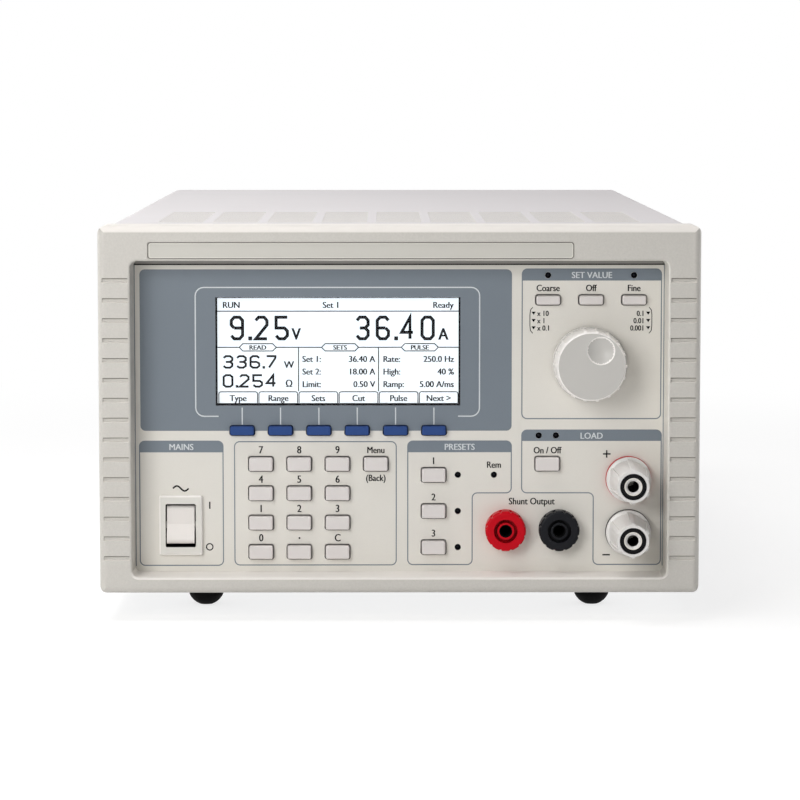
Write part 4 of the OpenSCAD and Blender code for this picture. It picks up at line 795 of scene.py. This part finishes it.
outline, radii = [(SLATE_X0, SLATE_Z0)], [CORNER]
for x, z in soft_places:
    outline += [(x - KEY_HOLE, SLATE_Z0), (x - KEY_HOLE, z + SOFT_HOLE),
                (x + KEY_HOLE, z + SOFT_HOLE), (x + KEY_HOLE, SLATE_Z0)]
    radii += [0, HOLE_CORNER, HOLE_CORNER, 0]
outline += [(SLATE_X1, SLATE_Z0), (SLATE_X1, SLATE_Z1), (SLATE_X0, SLATE_Z1)]
radii += [CORNER] * 3
flat("slate", [rounded(outline, radii), window_area(0)], AREA)
print(f"slate area {SLATE_X1 - SLATE_X0:.1f} x {SLATE_Z1 - SLATE_Z0:.1f} mm")

# %% [markdown]
# Every group of controls has a thin outline with round corners, and four of them a slate bar along the top
# for the group's name. Two outlines step in at the lower corner. Each is drawn as a closed stroke; the bars
# have holes where an indicator shows. At the top of the opening a grey band is painted shadow of the
# bezel's brow, and a dark line below it is the gap there, darkened with painted shade. A slate line at each
# side is the gap along the side walls, also darkened with painted shade.

# %% Group outlines and bars
LINE_W = 0.38
LED_HOLE = 1.15
level_x, level_z = centre("adjust_level_key")
pulse_x = centre("adjust_pulse_key")[0]
load_x, load_z = centre("input_key")
GROUPS = {
    "mains": ([(-92.5, 8.2), (-62.8, 8.2), (-62.8, 52.8), (-92.5, 52.8)], 48.8, []),
    "keypad": ([(-58.7, 8.3), (-1.1, 8.3), (-1.1, 52.6), (-58.7, 52.6)], None, []),
    "preset": ([(3.0, 8.4), (26.0, 8.4), (26.0, 34.2), (39.9, 34.2), (39.9, 52.8), (3.0, 52.8)], 48.8, []),
    "adjust": ([(43.6, 60.8), (93.0, 60.8), (93.0, 114.1), (43.6, 114.1)], 110.0,
               [(level_x, level_z + 8.75), (pulse_x, level_z + 8.75)]),
    "input": ([(69.2, 8.4), (93.3, 8.4), (93.3, 56.7), (43.6, 56.7), (43.6, 34.2), (69.2, 34.2)], 52.8,
              [(load_x - 3.05, load_z + 10.1), (load_x + 3.05, load_z + 10.1)]),
}
for corners, bar_z, lights in GROUPS.values():
    flat("slate", stroke(rounded(corners, CORNER), LINE_W, closed=True), LINE)
    if bar_z is None:
        continue
    x0, x1 = min(c[0] for c in corners), max(c[0] for c in corners)
    top = max(c[1] for c in corners)
    bar = rounded([(x0, bar_z), (x1, bar_z), (x1, top), (x0, top)], [0, 0, CORNER, CORNER])
    flat("slate", [bar] + [disc(x, z, LED_HOLE) for x, z in lights], AREA)
EDGE_X, EDGE_W, EDGE_Z0, EDGE_Z1 = 94.1, 0.3, 8.0, 116.3
# A grey band of painted shadow under the bezel's brow, under it a dark line of painted shade in the gap,
# and a slate line of painted shade in the gap at each side.
BROW_SHADOW_Z0, BROW_SHADOW_Z1, SEAM_W = 116.0, 117.2, 0.45
flat("brow_shadow", [rectangle(-EDGE_X, EDGE_X, BROW_SHADOW_Z0, BROW_SHADOW_Z1)], AREA)
flat("dark", [rectangle(-EDGE_X, EDGE_X, BROW_SHADOW_Z0 - SEAM_W, BROW_SHADOW_Z0)], AREA)
for x in (-EDGE_X, EDGE_X - EDGE_W):
    flat("slate", [rectangle(x, x + EDGE_W, EDGE_Z0, EDGE_Z1)], AREA)
print(len(GROUPS), "groups outlined")

# %% [markdown]
# A pale line frames the display on the slate, open at the bottom, and a pale line leads from the
# display to each soft key.

# %% Pale lines round the display
PALE_W, LEAD_W, LEAD_GAP = 0.42, 0.4, 0.7
bracket = [(-64.3, 61.7), (-72.4, 61.7), (-72.4, 107.6), (28.5, 107.6), (28.5, 61.7), (20.9, 61.7)]
bend = rounded(bracket, [0, 3, 3, 3, 3, 0])
flat("pale", stroke(bend, PALE_W), LINE)
for x, z in soft_places:
    lead = rectangle(x - LEAD_W / 2, x + LEAD_W / 2, z + SOFT_HOLE + 0.1, window_z0 - LEAD_GAP)
    flat("pale", [lead], LINE)
print("display framed")

# %% [markdown]
# Legends are plain words and figures of the trade, in Blender's own font. The legend of a key is placed
# from the key, so it stays beside it; the others have places of their own on the drawing.

# %% Legends on the panel
BOLD = 0.075


def label(text, node, rise, tall=2.4):
    """A legend over a solid, its middle a given rise above the solid's middle."""
    x, z = centre(node)
    letters("dark", text, x, z + rise, tall, weight=BOLD)


for digit in DIGITS:
    if digit != "point":
        label({"clear": "C"}.get(digit, digit), f"key_{digit}", 5.1, 2.75)
KEY_WORDS = (("Menu", "home_key", 5.0), ("(Back)", "home_key", -5.0), ("On / Off", "input_key", 4.9),
             ("Coarse", "adjust_level_key", 4.3), ("Off", "adjust_off_key", 4.3),
             ("Fine", "adjust_pulse_key", 4.3))
for text, key, rise in KEY_WORDS:
    label(text, key, rise)
for text, key in (("1", "level_key_a"), ("2", "level_key_b"), ("3", "level_key_c")):
    label(text, key, 5.1, 2.6)
for text, x, z, tall in (("Rem", 33.7, 44.4, 2.4), ("Shunt Output", 47.2, 31.3, 2.5)):
    letters("dark", text, x, z, tall, weight=BOLD)
HEADINGS = (("MAINS", -77.65, 50.8), ("PRESETS", 21.45, 50.8),
            ("SET VALUE", 68.3, 112.05), ("LOAD", 68.45, 54.75))
for text, x, z in HEADINGS:
    letters("pale", text, x, z, 2.3, weight=0.06, narrow=0.95)
print("legends laid")

# %% [markdown]
# Some marks are drawn, not written: the wave for alternating current, the bar and ring of the rocker,
# the point of the keypad, and plus and minus beside the posts. A plus is one corner, turned four times.

# %% Drawn marks
def mark(loops):
    """Lay outlines in the dark ink."""
    flat("dark", loops, LEGEND)


WAVE_STEPS, WAVE_LONG, WAVE_HIGH, WAVE_RISE = 16, 5.6, 0.9, 13.1
wave = []
for i in range(WAVE_STEPS + 1):
    turn = i / WAVE_STEPS
    height = WAVE_RISE + WAVE_HIGH * math.sin(2 * math.pi * turn)
    wave.append((switch_x + WAVE_LONG * (turn - 0.5), switch_z + height))
mark(stroke(wave, 0.58))
mark([rectangle(switch_x + 10.05, switch_x + 10.55, switch_z + 5.8, switch_z + 8.3)])
ring = (switch_x + 10.2, switch_z - 7.9)
mark([disc(*ring, 1.35), disc(*ring, 0.95)])
point_x, point_z = centre("key_point")
mark([disc(point_x, point_z + 4.9, 0.34)])
ARM, THIN = 1.35, 0.24
sign_x = post_x - 7.75
plus_mark_z, minus_mark_z = plus_z + 8.9, minus_z - 8.3
corner = [(-ARM, -THIN), (-THIN, -THIN), (-THIN, -ARM)]
plus = []
for _ in range(4):
    plus += [(sign_x + x, plus_mark_z + z) for x, z in corner]
    corner = [(-z, x) for x, z in corner]
mark([plus])
mark([rectangle(sign_x - ARM, sign_x + ARM, minus_mark_z - THIN, minus_mark_z + THIN)])
print("signs drawn")

# %% [markdown]
# Two keys step through a short list, printed under each: three rows with a small arrow, held together by
# a bracket on the outer side.

# %% Step lists
STEP_LISTS = ((-1, "adjust_level_key", ("x 10", "x 1", "x 0.1")),
              (1, "adjust_pulse_key", ("0.1", "0.01", "0.001")))
BRACKET = ((0.3, 2.6), (1.1, 3.6), (1.3, 5.2), (1.3, 9.2), (1.1, 10.9), (0.3, 11.9))
ARROW = ((-0.75, 0.55), (0, -0.6), (0.75, 0.55))
FIRST_ROW, ROW_STEP = 4.75, 2.6
for side, key, steps in STEP_LISTS:
    x, z = centre(key)
    arrow_x = x + side * 5.1
    for row, text in enumerate(steps):
        row_z = z - FIRST_ROW - ROW_STEP * row
        letters("dark", text, arrow_x - side * 1.3, row_z, 1.95,
                align="LEFT" if side < 0 else "RIGHT", weight=0.06)
        mark([[(arrow_x + dx, row_z + dz) for dx, dz in ARROW]])
    mark(stroke([(arrow_x + side * out, z - drop) for out, drop in BRACKET], 0.26))
print("step lists printed")

# %% [markdown]
# ## The display's picture
# The display is a back-lit black-on-white screen behind the clear window. The white is a thin sheet
# that glows a little, and the readings are dark films on it: two large readings, three columns of
# smaller ones, and a row of boxes over the soft keys. The numbers agree with each other as on a real
# load: volts times amps are the watts, and volts by amps are the ohms.

# %% White of the display
screen_y = drawn_box("lcd_module")[0].y
SHEET = 0.1
glass_y = screen_y - SHEET


def draw(loops):
    """Lay outlines in the display's ink."""
    flat("screen_ink", loops, LINE, glass_y)


flat("screen", [window_area(0.4)], SHEET, screen_y)
inside = rectangle(window_x0 + 0.55, window_x1 - 0.6, window_z0 + 0.55, window_z1 - 0.55)
draw([window_area(0.3), inside])
print(f"screen {screen_y - panel_y:.2f} mm behind the panel's face")

# %% [markdown]
# The screen is ruled like the real one: a status line at the top, two large readings, three columns
# with small six-sided tabs for headings, and six boxes in a row at the bottom.

# %% Lines on the display
RULE, SMALL = 0.36, 2.3


def screen_line(x0, drop0, x1, drop1):
    """A line on the screen, measured from its top left corner."""
    start, stop = (window_x0 + x0, window_z1 - drop0), (window_x0 + x1, window_z1 - drop1)
    draw(stroke([start, stop], RULE))


def screen_text(text, x, drop, tall=SMALL, align="LEFT", weight=0.1, narrow=0.95):
    """Figures or a word on the screen, its middle a given drop below the top edge."""
    letters("screen_ink", text, window_x0 + x, window_z1 - drop, tall, LINE, glass_y, align, weight, narrow)


MARGIN, STATUS_DROP, DIVIDER_DROP, BOX_DROP = 0.5, 5.2, 18.1, 34.0
COLUMN_1, COLUMN_2 = 29.4, 57.9
TABS = ((14.9, "READ"), (44.2, "SETS"), (72.6, "PULSE"))
TAB_HALF, TAB_TALL = 6.6, 1.3
screen_line(MARGIN, STATUS_DROP, WINDOW_W - MARGIN, STATUS_DROP)
ends = [MARGIN] + [x + side * TAB_HALF for x, _ in TABS for side in (-1, 1)] + [WINDOW_W - MARGIN]
for x0, x1 in zip(ends[0::2], ends[1::2]):
    screen_line(x0, DIVIDER_DROP, x1, DIVIDER_DROP)
for x, text in TABS:
    cx, cz, inner = window_x0 + x, window_z1 - DIVIDER_DROP, TAB_HALF - TAB_TALL
    hexagon = [(-TAB_HALF, 0), (-inner, -TAB_TALL), (inner, -TAB_TALL),
               (TAB_HALF, 0), (inner, TAB_TALL), (-inner, TAB_TALL)]
    tab = [(cx + dx, cz + dz) for dx, dz in hexagon]
    draw(stroke(tab, RULE, closed=True))
    screen_text(text, x, DIVIDER_DROP, 1.7, "CENTER", narrow=1.05)
for x in (COLUMN_1, COLUMN_2):
    screen_line(x, DIVIDER_DROP + 0.2, x, BOX_DROP - 0.2)
BOX_LEFT, BOX_PITCH, BOX_W, BOX_FOOT, BOX_RULE = 0.95, 14.3, 13.8, 0.6, 0.34
for i, text in enumerate(("Type", "Range", "Sets", "Cut", "Pulse", "Next >")):
    x0 = window_x0 + BOX_LEFT + i * BOX_PITCH
    foot, head = window_z0 + BOX_FOOT, window_z1 - BOX_DROP
    box = [(x0, foot), (x0, head), (x0 + BOX_W, head), (x0 + BOX_W, foot)]
    draw(stroke(rounded(box, [0, 0.8, 0.8, 0]), BOX_RULE))
    screen_text(text, BOX_LEFT + i * BOX_PITCH + BOX_W / 2, 36.2, align="CENTER")
print("screen ruled")

# %% [markdown]
# Large figures on such a display are drawn from straight strokes with cut corners. Each figure is
# written as strokes between points of a small grid: l, k, m, n and r are columns from left to right,
# and 0 to 9 are rows from the bottom to the top. All ten figures are here, so a reading can be changed.

# %% Figures of the display
COLUMNS = {"l": 0.0, "k": 0.26, "m": 0.5, "n": 0.74, "r": 1.0}
LEVELS = {"0": 0.0, "1": 0.15, "3": 0.3, "4": 0.36, "5": 0.5, "6": 0.64, "8": 0.85, "9": 1.0}
FIGURES = {
    "0": "k0 n0 r1 r8 n9 k9 l8 l1 k0 n0", "1": "k8 m9 m0", "2": "l8 k9 n9 r8 r6 l0 r0",
    "3": "l8 k9 n9 r8 r6 n5 r4 r1 n0 k0 l1/k5 n5", "4": "n0 n9 l3 r3", "5": "r9 l9 l5 n5 r4 r1 n0 k0 l1",
    "6": "r8 n9 k9 l8 l1 k0 n0 r1 r4 n5/l5 n5", "7": "l9 r9 r8 k0",
    "8": "k0 n0 r1 r8 n9 k9 l8 l1 k0 n0/l5 r5", "9": "l1 k0 n0 r1 r8 n9 k9 l8 l6 k5/k5 r5",
}
POINT_SIDE, POINT_IN, POINT_STEP = 1.25, 0.1, 0.2


def figures(text, x, drop, tall, wide, step, width):
    """A reading in stroked figures, its middle a given drop below the screen's top edge."""
    for sign in text:
        base = window_z1 - drop - tall / 2
        if sign == ".":
            side = width * POINT_SIDE
            at = window_x0 + x - (step - wide) / 2 + POINT_IN * wide
            foot = base - width / 2
            draw([rectangle(at, at + side, foot, foot + side)])
            x += POINT_STEP * step
            continue
        for line in FIGURES[sign].split("/"):
            points = [(window_x0 + x + COLUMNS[column] * wide, base + LEVELS[level] * tall)
                      for column, level in line.split()]
            closed = len(points) > 3 and points[0] == points[-2] and points[1] == points[-1]
            draw(stroke(points[:-2] if closed else points, width, closed))
        x += step


LARGE_FIGURES = (7.7, 4.0, 7.25, 1.12)
SMALL_FIGURES = (4.1, 3.1, 4.8, 0.74)
figures("9.25", 5.5, 11.2, *LARGE_FIGURES)
figures("36.40", 50.2, 11.2, *LARGE_FIGURES)
figures("336.7", 2.7, 23.3, *SMALL_FIGURES)
figures("0.254", 2.7, 30.1, *SMALL_FIGURES)
print("four readings drawn")

# %% [markdown]
# Units, names and settings are words of the font, right or left aligned in their columns.

# %% Words on the display
screen_text("RUN", 2.4, 2.9)
screen_text("Set 1", 38.0, 2.9)
screen_text("Ready", WINDOW_W - 2.4, 2.9, align="RIGHT")
for unit, x in (("V", 28.6), ("A", 81.0)):
    screen_text(unit, x, 13.2, 4.4, "CENTER", 0.17, 0.85)
for unit, drop in (("W", 24.2), ("Ω", 31.0)):
    screen_text(unit, 26.0, drop, 2.6, "CENTER", 0.11)
ROWS = (22.2, 26.7, 31.2)
SETS = (("Set 1:", "36.40 A"), ("Set 2:", "18.00 A"), ("Limit:", "0.50 V"))
PULSE = (("Rate:", "250.0 Hz"), ("High:", "40 %"), ("Ramp:", "5.00 A/ms"))
for drop, (name, value), (other, setting) in zip(ROWS, SETS, PULSE):
    screen_text(name, COLUMN_1 + 1.3, drop)
    screen_text(value, COLUMN_2 - 1.2, drop, align="RIGHT")
    screen_text(other, COLUMN_2 + 1.6, drop)
    screen_text(setting, WINDOW_W - 2.2, drop, align="RIGHT")
print("readings written")

# %% [markdown]
# ## The bare name strip
# Over the opening lies a shallow recess with a thin metal-look strip. On this part it stays bare: a satin
# plate with a fine pale line round it, and outside that a grey line of painted shade where the plate meets
# the recess.

# %% Name strip
sx0, sx1, sz0, sz1 = -88.4, 61.3, 118.25, 124.35
RECESS, PLATE, HAIR = 0.6, 0.25, 0.03


def strip_area(inset, radius):
    """The recess's outline, drawn in by a margin on every side."""
    return rectangle(sx0 + inset, sx1 - inset, sz0 + inset, sz1 - inset, radius)


flat("strip", [strip_area(0.15, 0.9)], PLATE, RECESS)
flat("strip_line", [strip_area(0.5, 0.7), strip_area(0.75, 0.55)], HAIR, RECESS - PLATE)
# The grey line is painted shade at the edge of the recess.
flat("strip_shade", [strip_area(0.16, 0.89), strip_area(0.42, 0.75)], HAIR, RECESS - PLATE)
print(f"bare strip {sx1 - sx0:.0f} mm long")

# %% [markdown]
# A black sealing ring lies on the face of each stud, round the socket, so that only a narrow metal ring
# shows. It is laid like ink, because it is as flat, and it stays on the stud when a cap is unscrewed.

# %% Seals of the posts
SEAL_IN, SEAL_OUT = 3.15, 3.62
for x, z in POSTS:
    flat("seal", [disc(x, z, SEAL_OUT), disc(x, z, SEAL_IN)], LEGEND, contact_y)
print("seals laid on", len(POSTS), "studs")

# %% [markdown]
# ## From ink to pieces
# All films of one ink become one mesh, ride on the case, and take that ink's finish. Doubled points
# from filling the curves are merged, so each film is a closed solid. The white of the display also
# glows a little, as its lamp shines through it.

# %% Make the ink pieces
BACKLIGHT, BACKLIGHT_TINT = 0.82, (0.93, 0.97, 1.0, 1)
screen_white = moulded("screen_white", (150, 156, 162), 0.5, 3000, 0.04, 0.0)
backlit = screen_white.node_tree.nodes["Principled BSDF"]
backlit.inputs["Emission Color"].default_value = BACKLIGHT_TINT
backlit.inputs["Emission Strength"].default_value = BACKLIGHT
INK_PIECES = {
    "slate": ("panel_slate_ink", "panel", moulded("slate_ink", (115, 125, 135), 0.5, 2600, 0.06, 0.1)),
    # Painted shadow of the bezel's brow on the panel.
    "brow_shadow": ("panel_brow_shadow_ink", "panel", moulded("brow_shadow_ink", (146, 144, 139), 0.5, 2600, 0.05, 0.05)),
    "dark": ("panel_dark_ink", "panel", moulded("dark_ink", (12, 12, 14), 0.55, 2600, 0.1, 0.05, **DULL)),
    "pale": ("panel_pale_ink", "panel", moulded("pale_ink", (212, 217, 220), 0.5, 2600, 0.05, 0.05)),
    "screen": ("display_white", "display", screen_white),
    "screen_ink": ("display_ink", "display",
                   moulded("screen_ink", (8, 9, 16), 0.6, 3000, 0.1, 0.0, **DULL)),
    "strip": ("name_strip_plate", "panel", moulded("strip_film", (204, 202, 195), 0.4, 3000, 0.05, 0.1)),
    "strip_line": ("name_strip_line", "panel",
                   moulded("strip_line", (226, 224, 216), 0.4, 3000, 0.05, 0.05)),
    # Painted shade round the name strip's plate.
    "strip_shade": ("name_strip_shade_line", "panel",
                    moulded("strip_shade", (126, 123, 118), 0.5, 3000, 0.05, 0.05)),
    "seal": ("post_seals", "panel", finishes["black"]),
}
MERGE = 2e-7
for ink, work in inks.items():
    piece_name, slot, film = INK_PIECES[ink]
    bmesh.ops.remove_doubles(work, verts=work.verts[:], dist=MERGE)
    mesh = bpy.data.meshes.new(piece_name)
    work.to_mesh(mesh)
    work.free()
    mesh.materials.append(film)
    piece = bpy.data.objects.new(piece_name, mesh)
    scene.collection.objects.link(piece)
    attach(piece, "case")
    print(piece_name, len(mesh.polygons), "faces")
